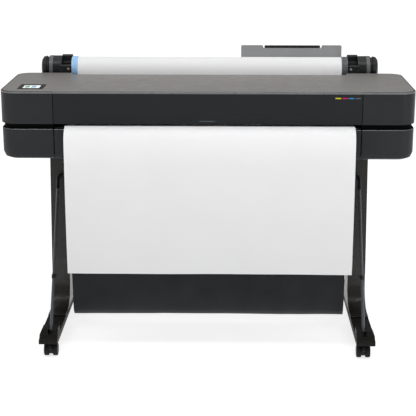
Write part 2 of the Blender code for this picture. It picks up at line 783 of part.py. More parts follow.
def roll_holder(name, side):
    """Cradle for the spindle's end, open at the top, with a round housing outside it."""
    depth, height = ROLL_AXIS
    near = CAP_REAR + GAP
    slot = JOURNAL_R + 0.0008
    floor = [
        (depth + slot * math.cos(math.radians(a)), height + slot * math.sin(math.radians(a)))
        for a in range(180, 361, 15)
    ]
    ledge = 0.873
    outline = [
        *rounded([(near, 0.800, 0), (near, ledge, 0.005), (near + 0.020, ledge, 0)], 0.002)[:-1],
        (depth - slot, ledge), *floor, (depth + slot, ledge), (0.4600, ledge + 0.006),
        (0.4600, 0.8955), (0.4640, 0.900), (0.4720, 0.900), (0.4768, 0.893), (0.4768, 0.800),
    ]
    inner, outer = HOLDER_INNER, HOLDER_INNER + CRADLE_WIDTH
    span = (inner, outer) if side > 0 else (-outer, -inner)
    cradle = extrusion(name, outline, "X", ROLL_X + span[0], ROLL_X + span[1], "black")
    profile = [
        (outer - 0.004, DRUM_R), (0.5560, DRUM_R), (0.5585, 0.0395), (0.5625, 0.0395),
        (0.5650, DRUM_R - 0.001), (0.5760, DRUM_R - 0.003), (0.5820, DRUM_R - 0.011),
        (HOLDER_OUTER, DRUM_R - 0.022), (HOLDER_OUTER, 0.006), (outer - 0.004, 0.006),
    ]
    centre = point(ROLL_X, *ROLL_AXIS)
    drum = turned(name + "_drum", [(side * x, radius) for x, radius in profile], centre, None, 30)
    shelf = block(
        name + "_shelf", [ROLL_X + x for x in mirrored(outer - 0.002, 0.5745, side)],
        (near, 0.4500), (0.800, 0.8410))
    join(cradle, drum, shelf)


def rear_guide():
    """Curved sheet under the roll: it leads cut sheets from the tray to the slot."""
    path = smooth_path(
        [(0.3540, 0.7640), (0.4000, 0.7800), (0.4400, 0.7950), (0.4660, 0.8070),
         (0.4768, 0.8240), (0.4787, 0.8420), (0.4787, 0.8580)], 0.012)
    ribbon("rear_guide", path, -0.002, 0.4650, 0.0023, "black")


def sheet_tray():
    """Back plate that cut sheets lean on, with a finger notch and the extension behind it."""
    left, right = TRAY
    notch_left, notch_right = TRAY_NOTCH
    low, notch, slant = 0.8586, HEIGHT - 0.010, 0.004
    outline = rounded([
        (left, low, 0), (right, low, 0), (right, HEIGHT, 0.005), (notch_right + slant, HEIGHT, 0),
        (notch_right, notch, 0), (notch_left, notch, 0), (notch_left - slant, HEIGHT, 0),
        (left, HEIGHT, 0.005)], 0.002)
    extrusion("tray_panel", outline, "Y", 0.4775, 0.4799, "tray")
    left, right = EXTENSION
    low, high = 0.876, HEIGHT - 0.0008
    extension = rounded([
        (left, low, 0.004), (right, low, 0.004), (right, high, 0.003), (left, high, 0.003)], 0.002)
    extrusion("tray_extension", extension, "Y", 0.4803, 0.4823, "black")


# ---------------------------------------------------------------- stand
def leg_outline(inset, low, high):
    """Side view of a leg: a leaning column with a flared base, some distance inside its faces."""
    flange = FOOT_TOP + GAP + FLANGE - inset
    front_lean, rear_lean = 0.1104, 0.0730
    above = high - LEG_TOP
    return rounded([
        (0.258 + inset + front_lean * above, high, 0), (0.213 + inset, LEG_KNEE, 0.2),
        (0.2085 + inset, flange, 0.082 + inset), (0.086 + inset, flange, 0),
        (0.086 + inset, low, 0), (0.400 - inset, low, 0), (0.400 - inset, flange, 0),
        (0.295 - inset, flange, 0.070 + inset), (0.336 - inset + rear_lean * above, high, 0),
    ], 0.012)


def leg(name, side):
    """Hollow, and open above and below."""
    base = FOOT_TOP + GAP
    column = extrusion(
        name, leg_outline(0, base, LEG_TOP), "X", *mirrored(LEG_IN, LEG_OUT, side), "steel")
    hollow = extrusion(
        name + "_hollow", leg_outline(SHEET, base - 0.01, LEG_TOP + 0.01), "X",
        *mirrored(LEG_IN + SHEET, LEG_OUT - SHEET, side))
    cut(column, hollow)


def foot(name, side):
    """Foot bar with a caster at each end and the bin frame's pivot block at the front."""
    front, rear = -FOOT_AHEAD, DEPTH - FOOT_AHEAD
    outline = rounded([
        (front, FOOT_BOTTOM, 0.002), (rear, FOOT_BOTTOM, 0.002), (rear, FOOT_TOP, 0.003),
        (-0.105, FOOT_TOP, 0.03), (front, 0.0585, 0.003)], 0.003)
    span = mirrored(LEG_IN, LEG_OUT, side)
    bar = extrusion(name, outline, "X", *span, "steel")
    depth, height = BIN_PIVOT
    tower = extrusion(
        name + "_tower",
        rounded([(-0.110, 0.060, 0), (-0.052, 0.060, 0), (-0.058, 0.091, 0.003),
                 (-0.096, 0.091, 0.004)], 0.002),
        "X", span[0] + 0.0004, span[1] - 0.0004)
    slot = block(
        name + "_slot", (side * BIN_X - 0.0075, side * BIN_X + 0.0075), (-0.115, -0.050),
        (0.0715, 0.10))
    bore = rod(name + "_bore", "X", point(side * BIN_X, depth, height), 0.0029, 0.028, sides=16)
    join(bar, tower)
    cut(bar, slot, bore)
    first, last, pitch, rib = -0.052, 0.415, 0.0934, 0.008
    for number in range(round((last - first) / pitch)):
        start = first + number * pitch
        pocket = block(
            f"{name}_pocket_{number}", (span[0] + SHEET, span[1] - SHEET),
            (start, start + pitch - rib), (FOOT_BOTTOM - 0.01, FOOT_TOP - SHEET))
        cut(bar, pocket)
    for end, (axle, offset) in CASTERS.items():
        stem = rod(
            f"{name}_stem_{end}", "Z", point(side * CASTER_X, axle + offset, FOOT_BOTTOM),
            STEM_R + 0.0004, 0.030, sides=20)
        cut(bar, stem)


def caster(end, name, side):
    """Twin-wheel caster: the hood swivels on its stem, and the two wheels share an axle."""
    axle_depth, offset = CASTERS[end]
    x = side * CASTER_X
    tag = f"{end}_{name}"
    axle = point(x, axle_depth, WHEEL_R)
    swivel = point(x, axle_depth + offset, 0)
    lead = math.copysign(1, offset)
    hood = [(-lead * HOOD_R, WHEEL_R)]
    for angle in range(200, 341, 20):
        turn = math.radians(angle)
        hood.append((lead * HOOD_R * math.cos(turn), WHEEL_R + HOOD_R * math.sin(turn)))
    hood += [
        (lead * HOOD_R, WHEEL_R + 0.004), (offset + lead * 0.010, HOOD_TOP),
        (-lead * 0.004, HOOD_TOP), (-lead * 0.0125, 0.0340),
    ]
    outline = [(axle_depth + u, v) for u, v in hood]
    if lead < 0:
        outline.reverse()
    fork = extrusion("caster_fork_" + tag, outline, "X", x - HOOD_HALF, x + HOOD_HALF, "black")
    plate = rod("caster_plate_" + tag, "Z", swivel + Vector((0, 0, 0.0441)), 0.0135, 0.003)
    stem = rod("caster_stem_" + tag, "Z", swivel + Vector((0, 0, 0.051)), STEM_R, 0.017, sides=20)
    bore = rod("caster_bore_" + tag, "X", axle, 0.0034, 0.03, sides=20)
    join(fork, plate, stem)
    cut(fork, bore)
    set_origin(fork, swivel + Vector((0, 0, FOOT_BOTTOM)))
    width = WHEEL_OUT - WHEEL_GAP
    middle = (WHEEL_OUT + WHEEL_GAP) / 2
    wheels = rod("caster_wheels_" + tag, "X", axle, 0.003, 2 * (WHEEL_GAP + 0.001), "rubber", 16)
    for number, way in enumerate((-1, 1)):
        tyre = rod(
            f"caster_tyre_{tag}_{number}", "X", axle + Vector((way * middle, 0, 0)), WHEEL_R,
            width, sides=24)
        join(wheels, tyre)
    set_origin(wheels, axle)


def brake_lever(name, side):
    """Foot lever in front of the front caster's hood."""
    axle_depth = CASTERS["front"][0]
    x = side * CASTER_X
    outline = rounded([
        (axle_depth - 0.0165, 0.0335, 0.001), (axle_depth - 0.0135, 0.0420, 0.001),
        (axle_depth - 0.0225, 0.0410, 0.001), (axle_depth - 0.0262, 0.0300, 0.001),
        (axle_depth - 0.0240, 0.0270, 0.001)], 0.001)
    lever = extrusion("brake_lever_" + name, outline, "X", x - 0.0055, x + 0.0055, "black")
    set_origin(lever, point(x, axle_depth - 0.0165, 0.0375))


def bin_frame():
    """Inverted U of tube that swings on the feet: side tubes, elbows and the bar at the top."""
    foot_end = point(0, *BIN_PIVOT)
    head = point(0, *BIN_TOP)
    way = (head - foot_end).normalized()
    length = (head - foot_end).length
    elbow_start = length - 0.050
    for name, side in SIDES.items():
        shift = Vector((side * BIN_X, 0, 0))
        inward = Vector((-side, 0, 0))
        start = foot_end + shift
        side_tube = tube(
            "bin_tube_" + name, [start - way * 0.004, start + way * (elbow_start - GAP)],
            TUBE_R, "tube")
        pin = rod("bin_pin_" + name, "X", start, 0.0025, 0.026, sides=16)
        join(side_tube, pin)
        set_origin(side_tube, start)
        places = [start + way * elbow_start]
        corner = start + way * (length - BEND) + inward * BEND
        for step in range(7):
            angle = math.radians(90) * step / 6
            places.append(corner - inward * BEND * math.cos(angle) + way * BEND * math.sin(angle))
        places.append(start + way * length + inward * 0.026)
        elbow = tube("bin_corner_" + name, places, ELBOW_R, "tube")
        set_origin(elbow, start)
    half = BIN_X - 0.026 - GAP
    bar = rod("bin_top_bar", "X", head, TUBE_R, 2 * half, "tube", 16)
    set_origin(bar, head)


def fabric_knots():
    """The sling's side view: down from the top bar, round the fold, and up to the rear bar."""
    return [
        (0.1965, 0.5240), (0.1770, 0.4000), (0.1620, 0.2500), (0.1570, 0.1700), (0.1610, 0.1000),
        (0.1750, 0.0520), (0.2000, 0.0340), (0.2240, 0.0480), (0.2420, 0.1000), (0.2640, 0.2200),
        (0.2870, 0.3600), (0.2985, 0.4725),
    ]


def stand():
    for name, side in SIDES.items():
        leg("leg_" + name, side)
        foot("foot_" + name, side)
        brake_lever(name, side)
        for end in CASTERS:
            caster(end, name, side)
    bin_frame()
    inner = LEG_IN - GAP
    brace = block("cross_brace", (-inner, inner), BRACE_DEPTH, BRACE_HEIGHT, "steel")
    core = block(
        "brace_core", (-HALF, HALF), (BRACE_DEPTH[0] + SHEET, BRACE_DEPTH[1] - SHEET),
        (BRACE_HEIGHT[0] + SHEET, BRACE_HEIGHT[1] - SHEET))
    cut(brace, core)
    rod("bin_rear_bar", "X", point(0, *REAR_BAR), 0.006, 2 * inner, "tube", 20)
    ribbon("bin_fabric", smooth_path(fabric_knots(), 0.03), 0, FABRIC_HALF, 0.0025, "fabric")


# ---------------------------------------------------------------- power
def power_pieces(rear_housing):
    """Mains inlet and rocker switch in the back of the right lower cap."""
    left, right, low, high = INLET
    inlet = block(
        "power_inlet", (left + GAP, right - GAP), (0.3740, CAP_REAR), (low + GAP, high - GAP),
        "black")
    mouth = block(
        "inlet_mouth", (left + 0.003, right - 0.003), (0.3780, CAP_REAR + 0.01),
        (low + 0.003, high - 0.003))
    cut(inlet, mouth)
    for number, (x, z) in enumerate(((0.5680, 0.6735), (0.5800, 0.6735), (0.5740, 0.6775))):
        blade = block(
            f"inlet_blade_{number}", (x - 0.001, x + 0.001), (0.3770, 0.3870),
            (z - 0.002, z + 0.002))
        join(inlet, blade)
    window = block("inlet_window", (left, right), (0.36, 0.42), (low, high))
    left, right, low, high = SWITCH
    switch_window = block("switch_window", (left, right), (0.36, 0.42), (low, high))
    cut(rear_housing, window, switch_window)
    middle = (low + high) / 2
    low, high = low + 0.002, high - 0.002
    rocker = extrusion(
        "power_switch",
        rounded([(0.3830, low + 0.002, 0.001), (0.3905, low, 0.001), (0.3890, middle, 0),
                 (0.3925, high - 0.0005, 0.001), (0.3830, high - 0.002, 0.001)], 0.001),
        "X", left + 0.0006, right - 0.0006, "black")
    set_origin(rocker, point((left + right) / 2, 0.3860, middle))


# ---------------------------------------------------------------- assembly
for cap_name, cap_side in SIDES.items():
    upper_cap("upper_cap_" + cap_name, cap_side)
    lower_housing = lower_cap("lower_cap_" + cap_name, cap_side)
    if cap_name == "right":
        power_pieces(lower_housing)
    gap_trim("gap_trim_" + cap_name, cap_side)
    roll_holder("roll_holder_" + cap_name, cap_side)
for build in (
    front_cover, lower_front, top_panel, control_panel, chassis, rear_cover, platen, feed_roller,
    pinch_rollers, feed_drive, carriage_rail, print_carriage, carriage_belt, service_station,
    ink_cartridges, paper_sheet, roll, rear_guide, sheet_tray, stand,
):
    build()
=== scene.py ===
import json
import math

import bmesh
import bpy
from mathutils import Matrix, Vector, noise

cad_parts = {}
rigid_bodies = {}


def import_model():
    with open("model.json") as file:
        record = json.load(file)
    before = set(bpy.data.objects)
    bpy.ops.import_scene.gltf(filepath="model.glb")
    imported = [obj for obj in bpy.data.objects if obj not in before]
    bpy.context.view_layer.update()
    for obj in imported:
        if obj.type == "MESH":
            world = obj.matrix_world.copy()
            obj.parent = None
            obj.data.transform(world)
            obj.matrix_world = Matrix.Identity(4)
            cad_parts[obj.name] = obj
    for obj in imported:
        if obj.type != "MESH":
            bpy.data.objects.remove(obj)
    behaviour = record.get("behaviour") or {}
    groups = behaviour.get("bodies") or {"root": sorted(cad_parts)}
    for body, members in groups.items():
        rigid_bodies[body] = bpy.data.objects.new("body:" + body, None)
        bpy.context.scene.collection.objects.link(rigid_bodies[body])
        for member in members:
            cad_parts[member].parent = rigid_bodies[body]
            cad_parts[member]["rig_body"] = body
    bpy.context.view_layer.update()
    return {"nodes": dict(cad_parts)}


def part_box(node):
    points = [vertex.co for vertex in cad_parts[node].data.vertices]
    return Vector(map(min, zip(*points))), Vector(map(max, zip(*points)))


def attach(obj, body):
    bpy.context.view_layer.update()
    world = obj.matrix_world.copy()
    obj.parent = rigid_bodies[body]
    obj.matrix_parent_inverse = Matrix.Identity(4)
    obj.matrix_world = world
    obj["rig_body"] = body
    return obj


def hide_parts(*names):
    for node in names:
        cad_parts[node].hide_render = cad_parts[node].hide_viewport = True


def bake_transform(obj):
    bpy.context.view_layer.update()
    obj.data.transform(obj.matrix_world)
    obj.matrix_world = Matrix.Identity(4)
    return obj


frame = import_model()
scene = bpy.context.scene

ROOT = "printer_and_stand"
SIDES = {"left": -1, "right": 1}
CORNERS = [(end, side) for end in ("front", "rear") for side in SIDES]

# ---------------------------------------------------------------------------
# Places, read from the frame. Depth is measured back from the housing's front.
# ---------------------------------------------------------------------------


def low(node):
    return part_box(node)[0]


def high(node):
    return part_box(node)[1]


def middle(node):
    return (low(node) + high(node)) / 2


def end_x(node, way):
    """The X of a node's right end (way 1) or left end (way -1)."""
    return high(node).x if way > 0 else low(node).x


def axis_of(node):
    """Where the axis of a round node that lies along X crosses x = 0."""
    lo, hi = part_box(node)
    return Vector((0, (lo.y + hi.y) / 2, (lo.z + hi.z) / 2))


FRONT = low("upper_cap_left").y
TOP = high("top_panel").z
REAR_DEPTH = 0.390      # the housing's rear
PROUD = 0.0003          # how far an inlay or a mark stands out of its surface
INLAY = 0.001           # how far it goes in
X_AXIS = (1, 0, 0)


def at(depth):
    """World Y of a depth behind the housing's front."""
    return FRONT + depth


def clamp(value):
    return max(0.0, min(1.0, value))


# ---------------------------------------------------------------------------
# Camera
# ---------------------------------------------------------------------------
CAMERA_PLACE = (0.0644, -3.752, 1.4624)
CAMERA_PITCH = 15.51
CAMERA_YAW = 0.974
CAMERA_LENS = 99.75
CAMERA_SENSOR = 36
CAMERA_SHIFT = -0.0012


def make_camera():
    data = bpy.data.cameras.new("Camera")
    data.lens = CAMERA_LENS
    data.sensor_width = CAMERA_SENSOR
    data.shift_x = CAMERA_SHIFT
    data.clip_end = 200
    camera = bpy.data.objects.new("Camera", data)
    camera.location = CAMERA_PLACE
    camera.rotation_euler = (math.radians(90 - CAMERA_PITCH), 0, math.radians(CAMERA_YAW))
    scene.collection.objects.link(camera)
    scene.camera = camera


make_camera()

# ---------------------------------------------------------------------------
# Light and floor
# ---------------------------------------------------------------------------
WORLD_STRENGTH = 0.36
SUN = (0.6, 60, -8)             # strength, angle across, tilt
SOFTBOXES = {                   # place, target, size, power
    "softbox_above": ((0, -0.80, 2.75), (0, -0.20, 0.80), (3.2, 0.45), 25),
    "softbox_left": ((-2.6, -2.3, 1.3), (-0.4, -0.1, 0.7), (0.5, 2.0), 5),
    "softbox_right": ((2.6, -2.3, 1.3), (0.4, -0.1, 0.7), (0.5, 2.0), 14),
}


def area_light(name, place, target, size, power):
    data = bpy.data.lights.new(name, "AREA")
    data.shape = "RECTANGLE"
    data.size, data.size_y = size
    data.energy = power
    light = bpy.data.objects.new(name, data)
    light.location = place
    light.rotation_euler = (Vector(target) - Vector(place)).to_track_quat("-Z", "Y").to_euler()
    scene.collection.objects.link(light)


def sky_light(strength, angle, tilt):
    """A broad sun: the same light over the whole floor, with soft shadows."""
    data = bpy.data.lights.new("overhead", "SUN")
    data.energy = strength
    data.angle = math.radians(angle)
    light = bpy.data.objects.new("overhead", data)
    light.rotation_euler = (math.radians(tilt), 0, 0)
    scene.collection.objects.link(light)


def make_world(strength):
    world = bpy.data.worlds.new("studio")
    world.use_nodes = True
    background = world.node_tree.nodes["Background"]
    background.inputs["Color"].default_value = (1, 1, 1, 1)
    background.inputs["Strength"].default_value = strength
    scene.world = world


make_world(WORLD_STRENGTH)
sky_light(*SUN)
for softbox, setting in SOFTBOXES.items():
    area_light(softbox, *setting)
scene.view_settings.view_transform = "Standard"

# ---------------------------------------------------------------------------
# Materials. Textures use object coordinates, which are metres in the shared frame.
# ---------------------------------------------------------------------------


def linear(value):
    """One 0 to 255 screen value as linear light."""
    v = value / 255
    return v / 12.92 if v <= 0.04045 else ((v + 0.055) / 1.055) ** 2.4


def colour(red, green, blue):
    return (linear(red), linear(green), linear(blue), 1)


class Nodes:
    """A short way to write a material's nodes."""

    def __init__(self, name):
        self.material = bpy.data.materials.new(name)
        self.material.use_nodes = True
        self.tree = self.material.node_tree
        self.shader = self.tree.nodes["Principled BSDF"]
        self.place = self.add("ShaderNodeTexCoord").outputs["Object"]

    def add(self, kind, **inputs):
        node = self.tree.nodes.new(kind)
        for name, value in inputs.items():
            self.feed(node.inputs[name.replace("_", " ")], value)
        return node

    def feed(self, socket, value):
        if isinstance(value, bpy.types.NodeSocket):
            self.tree.links.new(value, socket)
        else:
            socket.default_value = value

    def scaled(self, scale):
        """Object coordinates stretched by (x, y, z)."""
        mapping = self.add("ShaderNodeMapping", Vector=self.place, Scale=scale)
        return mapping.outputs["Vector"]

    def noise(self, scale, detail=3, vector=None, roughness=0.5):
        node = self.add("ShaderNodeTexNoise", Vector=vector or self.place, Scale=scale,
                        Detail=detail, Roughness=roughness)
        return node.outputs["Fac"]

    def spread(self, value, low_end, high_end, from_low=0.3, from_high=0.7):
        """A texture's value taken to a range."""
        node = self.tree.nodes.new("ShaderNodeMapRange")
        self.feed(node.inputs["Value"], value)
        for name, number in (("From Min", from_low), ("From Max", from_high),
                             ("To Min", low_end), ("To Max", high_end)):
            node.inputs[name].default_value = number
        return node.outputs["Result"]

    def math(self, operation, a, b):
        node = self.tree.nodes.new("ShaderNodeMath")
        node.operation = operation
        self.feed(node.inputs[0], a)
        self.feed(node.inputs[1], b)
        return node.outputs[0]

    def mix(self, factor, a, b, blend="MIX"):
        node = self.tree.nodes.new("ShaderNodeMix")
        node.data_type, node.blend_type = "RGBA", blend
        self.feed(node.inputs[0], factor)
        self.feed(node.inputs[6], a)
        self.feed(node.inputs[7], b)
        return node.outputs[2]

    def wave(self, vector, kind, axis, scale, distortion, detail):
        """RINGS about an axis, or BANDS across it."""
        node = self.add("ShaderNodeTexWave", Vector=vector, Scale=scale, Distortion=distortion,
                        Detail=detail)
        node.wave_type = kind
        node.rings_direction = node.bands_direction = axis
        return node.outputs["Fac"]

    def bump(self, height, distance, strength=1.0):
        node = self.add("ShaderNodeBump", Height=height, Distance=distance, Strength=strength)
        self.feed(self.shader.inputs["Normal"], node.outputs["Normal"])

    def set(self, **values):
        for name, value in values.items():
            self.feed(self.shader.inputs[name.replace("_", " ")], value)


def shade(base, factor):
    return tuple(min(1, c * factor) for c in base[:3]) + (1,)


def moulded(name, base, rough=0.45, specular=0.3, grain=1400, depth=0.00004, vary=0.1, mottle=9):
    """Moulded plastic: spark-eroded grain, and a slow change of tone across the piece."""
    n = Nodes(name)
    slow = n.noise(mottle, 4)
    fine = n.noise(grain, 2)
    tone = n.math("ADD", n.spread(slow, 0, 0.7), n.spread(fine, 0, 0.3))
    n.set(Base_Color=n.mix(tone, shade(base, 1 - vary), shade(base, 1 + vary)))
    n.set(Roughness=n.spread(n.noise(mottle * 4, 3), rough - 0.05, rough + 0.05))
    n.set(Specular_IOR_Level=specular)
    n.bump(fine, depth)
    return n.material


def painted(name, base, rough=0.38, specular=0.35, metallic=0.0, peel=800):
    """Powder coat or paint on steel: orange peel, worn a little lighter on its corners."""
    n = Nodes(name)
    worn = n.spread(n.add("ShaderNodeNewGeometry").outputs["Pointiness"], 0, 0.5, 0.52, 0.62)
    slow = n.spread(n.noise(14, 5), 0, 1)
    tone = n.mix(slow, shade(base, 0.9), shade(base, 1.1))
    n.set(Base_Color=n.mix(worn, tone, shade(base, 1.7)))
    n.set(Roughness=n.spread(n.noise(40, 4), rough - 0.06, rough + 0.08))
    n.set(Specular_IOR_Level=specular, Metallic=metallic)
    n.bump(n.noise(peel, 2), 0.00003)
    return n.material


def brushed(name, base, rough=0.34, along=(4, 900, 900), spangle=False):
    """Bare metal with its grain drawn out along one axis, or the spangle of zinc plate."""
    n = Nodes(name)
    lines = n.noise(1, 3, n.scaled(along))
    if spangle:
        cells = n.add("ShaderNodeTexVoronoi", Vector=n.place, Scale=70.0)
        value = n.math("ADD", n.spread(cells.outputs["Distance"], 0, 0.6, 0, 1),
                       n.spread(lines, 0, 0.4))
    else:
        value = n.spread(lines, 0, 1)
    n.set(Base_Color=n.mix(value, shade(base, 0.84), shade(base, 1.12)))
    n.set(Roughness=n.spread(lines, rough - 0.08, rough + 0.1), Metallic=1.0)
    n.bump(lines, 0.00003)
    return n.material


# Painted shade down the hanging sheet, in two steps of height.
PAINTED_FADE_STEPS = ((0.45, 0.25, 0.62), (0.55, 0.62, 0.73))   # share of the fade, and its two levels


def paper_finish(name, base, painted_glow=0.0, painted_fade=1.0):
    """Coated paper: faint fibres. Glow is painted light, an even emission that brightens the roll's
    paper.
    Fade is painted shade: the hanging sheet's lower end darkened to this share of its tone at the
    cover."""
    n = Nodes(name)
    fibres = n.noise(900, 5, n.scaled((1, 0.4, 0.4)))
    cloud = n.noise(6, 2)
    value = n.math("ADD", n.spread(fibres, 0, 0.4), n.spread(cloud, 0, 0.6))
    tone = n.mix(value, shade(base, 0.965), base)
    if painted_fade < 1:
        height = n.add("ShaderNodeSeparateXYZ", Vector=n.place).outputs["Z"]
        lit = n.math("ADD", *(n.spread(height, 0, share, bottom, top)
                              for share, bottom, top in PAINTED_FADE_STEPS))
        tone = n.mix(1.0, tone, n.mix(lit, (painted_fade, painted_fade, painted_fade, 1), (1, 1, 1, 1)), "MULTIPLY")
    n.set(Base_Color=tone, Roughness=0.55)
    n.set(Specular_IOR_Level=0.25, Emission_Color=(1, 1, 1, 1), Emission_Strength=painted_glow)
    n.bump(fibres, 0.00001)
    return n.material


def roll_end_finish(name, base, axis_place):
    """The end of a paper roll: fine rings, one for each few turns."""
    n = Nodes(name)
    moved = n.add("ShaderNodeMapping", Vector=n.place, Location=tuple(-c for c in axis_place))
    rings = n.wave(moved.outputs["Vector"], "RINGS", "X", 260.0, 1.2, 2.0)
    n.set(Base_Color=n.mix(rings, shade(base, 0.8), base), Roughness=0.75)
    n.set(Specular_IOR_Level=0.15)
    n.bump(rings, 0.00012)
    return n.material


def woven(name, base, pitch=0.0011):
    """Black polyester: a plain weave in bump and tone, with a soft sheen."""
    n = Nodes(name)
    scale = math.tau / (20 * pitch)
    weave = n.math("MAXIMUM", *(n.wave(n.place, "BANDS", axis, scale, 0.4, 1.0) for axis in "XZ"))
    cloud = n.spread(n.noise(11, 5), 0, 0.6)
    value = n.math("ADD", cloud, n.spread(weave, 0, 0.4, 0, 1))
    n.set(Base_Color=n.mix(value, shade(base, 0.7), shade(base, 1.35)), Roughness=0.78)
    n.set(Specular_IOR_Level=0.2, Sheen_Weight=0.25, Sheen_Roughness=0.45)
    n.bump(weave, 0.0002, 0.7)
    return n.material


def glowing(name, base, strength):
    """A lit screen: a fine pixel grid over its own light."""
    n = Nodes(name)
    grid = n.add("ShaderNodeTexChecker", Vector=n.place, Scale=3000.0)
    tone = n.mix(grid.outputs["Fac"], shade(base, 0.97), base)
    n.set(Base_Color=tone, Emission_Color=tone, Emission_Strength=strength, Roughness=0.2)
    return n.material


MATERIAL = {
    "housing": moulded("housing", colour(38, 39, 41), 0.40, 0.17),
    "lower": moulded("lower_housing", colour(38, 40, 42), 0.46, 0.17, grain=700, vary=0.2),
    "cover": moulded("cover", colour(32, 34, 36), 0.42, 0.15),
    # Lighter finishes for the shells' top front edges: painted highlights.
    "housing_edge": moulded("housing_edge", colour(104, 105, 108), 0.3, 0.5),
    "lower_edge": moulded("lower_edge", colour(84, 85, 88), 0.3, 0.5),
    # Near-black: the gap trim's own colour, and painted shade in the seam grooves.
    "gap": moulded("gap_trim", colour(5, 5, 6), 0.8, 0.05),
    "panel": moulded("panel", colour(127, 124, 121), 0.42, 0.4, grain=1100, vary=0.05),
    "bezel": moulded("bezel", colour(40, 41, 42), 0.5, 0.12, depth=0.00001),
    "black": moulded("black_plastic", colour(21, 22, 24), 0.36, 0.35),
    "graphite": moulded("graphite_plastic", colour(98, 100, 104), 0.36, 0.35),
    "caster": moulded("caster_plastic", colour(22, 23, 27), 0.42, 0.2),
    "tyre": moulded("tyre", colour(32, 32, 34), 0.72, 0.12, grain=800),
    "hub": moulded("wheel_hub", colour(74, 75, 78), 0.45, 0.3),
    "rubber": moulded("rubber", colour(24, 24, 25), 0.8, 0.15, grain=600),
    "pale_line": moulded("light_guide", colour(66, 80, 90), 0.3, 0.4),
    "blue": moulded("blue_plastic", colour(170, 214, 252), 0.3, 0.4, vary=0.04),
    "tray": moulded("tray_plastic", colour(149, 150, 152), 0.5, 0.3, grain=1000, vary=0.06),
    "board": moulded("cardboard", colour(168, 134, 98), 0.85, 0.1, grain=500, vary=0.12),
    "leg": painted("leg_paint", colour(34, 32, 29), rough=0.30, specular=0.42),
    "foot": painted("foot_paint", colour(24, 23, 21), rough=0.5, specular=0.12),
    "tube": painted("tube_paint", colour(64, 69, 73), rough=0.3, specular=0.5),
    "zinc": brushed("zinc_steel", colour(150, 152, 155), 0.38, spangle=True),
    "rail": brushed("aluminium", colour(168, 170, 174), 0.32),
    "steel": brushed("bright_steel", colour(190, 190, 192), 0.22),
    "screw": brushed("screw_steel", colour(92, 93, 96), 0.3, along=(600, 600, 600)),
    # The hanging sheet darkens towards its lower end: painted shade.
    "paper": paper_finish("paper", colour(247, 247, 248), painted_fade=0.8),
    # The roll's side: a darker base than the sheet's, under an even glow that is painted light.
    "roll_side": paper_finish("roll_side", colour(198, 198, 199), painted_glow=0.31),
    "cloth": woven("bin_cloth", colour(35, 36, 39)),
    "webbing": woven("hem_webbing", colour(30, 31, 33), pitch=0.0018),
    "screen": glowing("screen_white", colour(238, 242, 248), 0.5),
    "icon_green": glowing("screen_green", colour(103, 158, 115), 0.3),
    "icon_blue": glowing("screen_blue", colour(129, 174, 197), 0.3),
    "icon_mark": glowing("screen_mark", colour(196, 214, 212), 0.3),
    "ink_yellow": moulded("ink_yellow", colour(196, 190, 26), 0.4, 0.2, vary=0.04),
    "ink_magenta": moulded("ink_magenta", colour(178, 22, 100), 0.4, 0.2, vary=0.04),
    "ink_cyan": moulded("ink_cyan", colour(36, 128, 178), 0.4, 0.2, vary=0.04),
    "ink_black": moulded("ink_grey", colour(84, 86, 90), 0.4, 0.2, vary=0.04),
    "roll_end": roll_end_finish("roll_end", colour(232, 232, 230), axis_of("paper_roll")),
}

# ---------------------------------------------------------------------------
# Mesh helpers
# ---------------------------------------------------------------------------


def apply_modifiers(obj):
    graph = bpy.context.evaluated_depsgraph_get()
    mesh = bpy.data.meshes.new_from_object(obj.evaluated_get(graph))
    old = obj.data
    obj.modifiers.clear()
    obj.data = mesh
    bpy.data.meshes.remove(old)


def new_object(name, bm, material=None):
    """Turns bm into an object in the scene."""
    mesh = bpy.data.meshes.new(name)
    bm.to_mesh(mesh)
    bm.free()
    if material is not None:
        mesh.materials.append(material)
    obj = bpy.data.objects.new(name, mesh)
    scene.collection.objects.link(obj)
    return obj


def shade_smooth(obj, sharp_angle):
    obj.data.polygons.foreach_set("use_smooth", [True] * len(obj.data.polygons))
    obj.data.set_sharp_from_angle(angle=math.radians(sharp_angle))


def piece(name, bm, finish, body, replaces=(), bevel=0.0, segments=2, cutter=None, smooth=38):
    """Turns bm into a named piece: cut, edges rounded, finished, and riding on its body."""
    bmesh.ops.recalc_face_normals(bm, faces=bm.faces[:])
    obj = new_object(name, bm, MATERIAL[finish])
    if cutter is not None:
        bmesh.ops.recalc_face_normals(cutter, faces=cutter.faces[:])
        tool = new_object("cutter", cutter)
        boolean = obj.modifiers.new("cut", "BOOLEAN")
        boolean.operation, boolean.object = "DIFFERENCE", tool
        apply_modifiers(obj)
        cut_mesh = tool.data
        bpy.data.objects.remove(tool)
        bpy.data.meshes.remove(cut_mesh)
    if bevel:
        rounding = obj.modifiers.new("bevel", "BEVEL")
        rounding.width, rounding.segments = bevel, segments
        rounding.limit_method, rounding.angle_limit = "ANGLE", math.radians(35)
        apply_modifiers(obj)
    shade_smooth(obj, smooth)
    weighted = obj.modifiers.new("normals", "WEIGHTED_NORMAL")
    weighted.keep_sharp = True
    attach(obj, body)
    if replaces:
        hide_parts(*replaces)
    return obj


def refined(node, finish, bevel=0.0006, segments=2, cutter=None, smooth=38):
    """A CAD node's own shape with its edges rounded, less what the cutter takes away."""
    source = frame["nodes"][node]
    bm = bmesh.new()
    bm.from_mesh(source.data)
    bmesh.ops.remove_doubles(bm, verts=bm.verts[:], dist=0.00001)
    bmesh.ops.dissolve_limit(bm, angle_limit=math.radians(0.5), verts=bm.verts[:],
                             edges=bm.edges[:])
    return piece(node + "_skin", bm, finish, source["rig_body"], (node,), bevel, segments, cutter,
                 smooth)


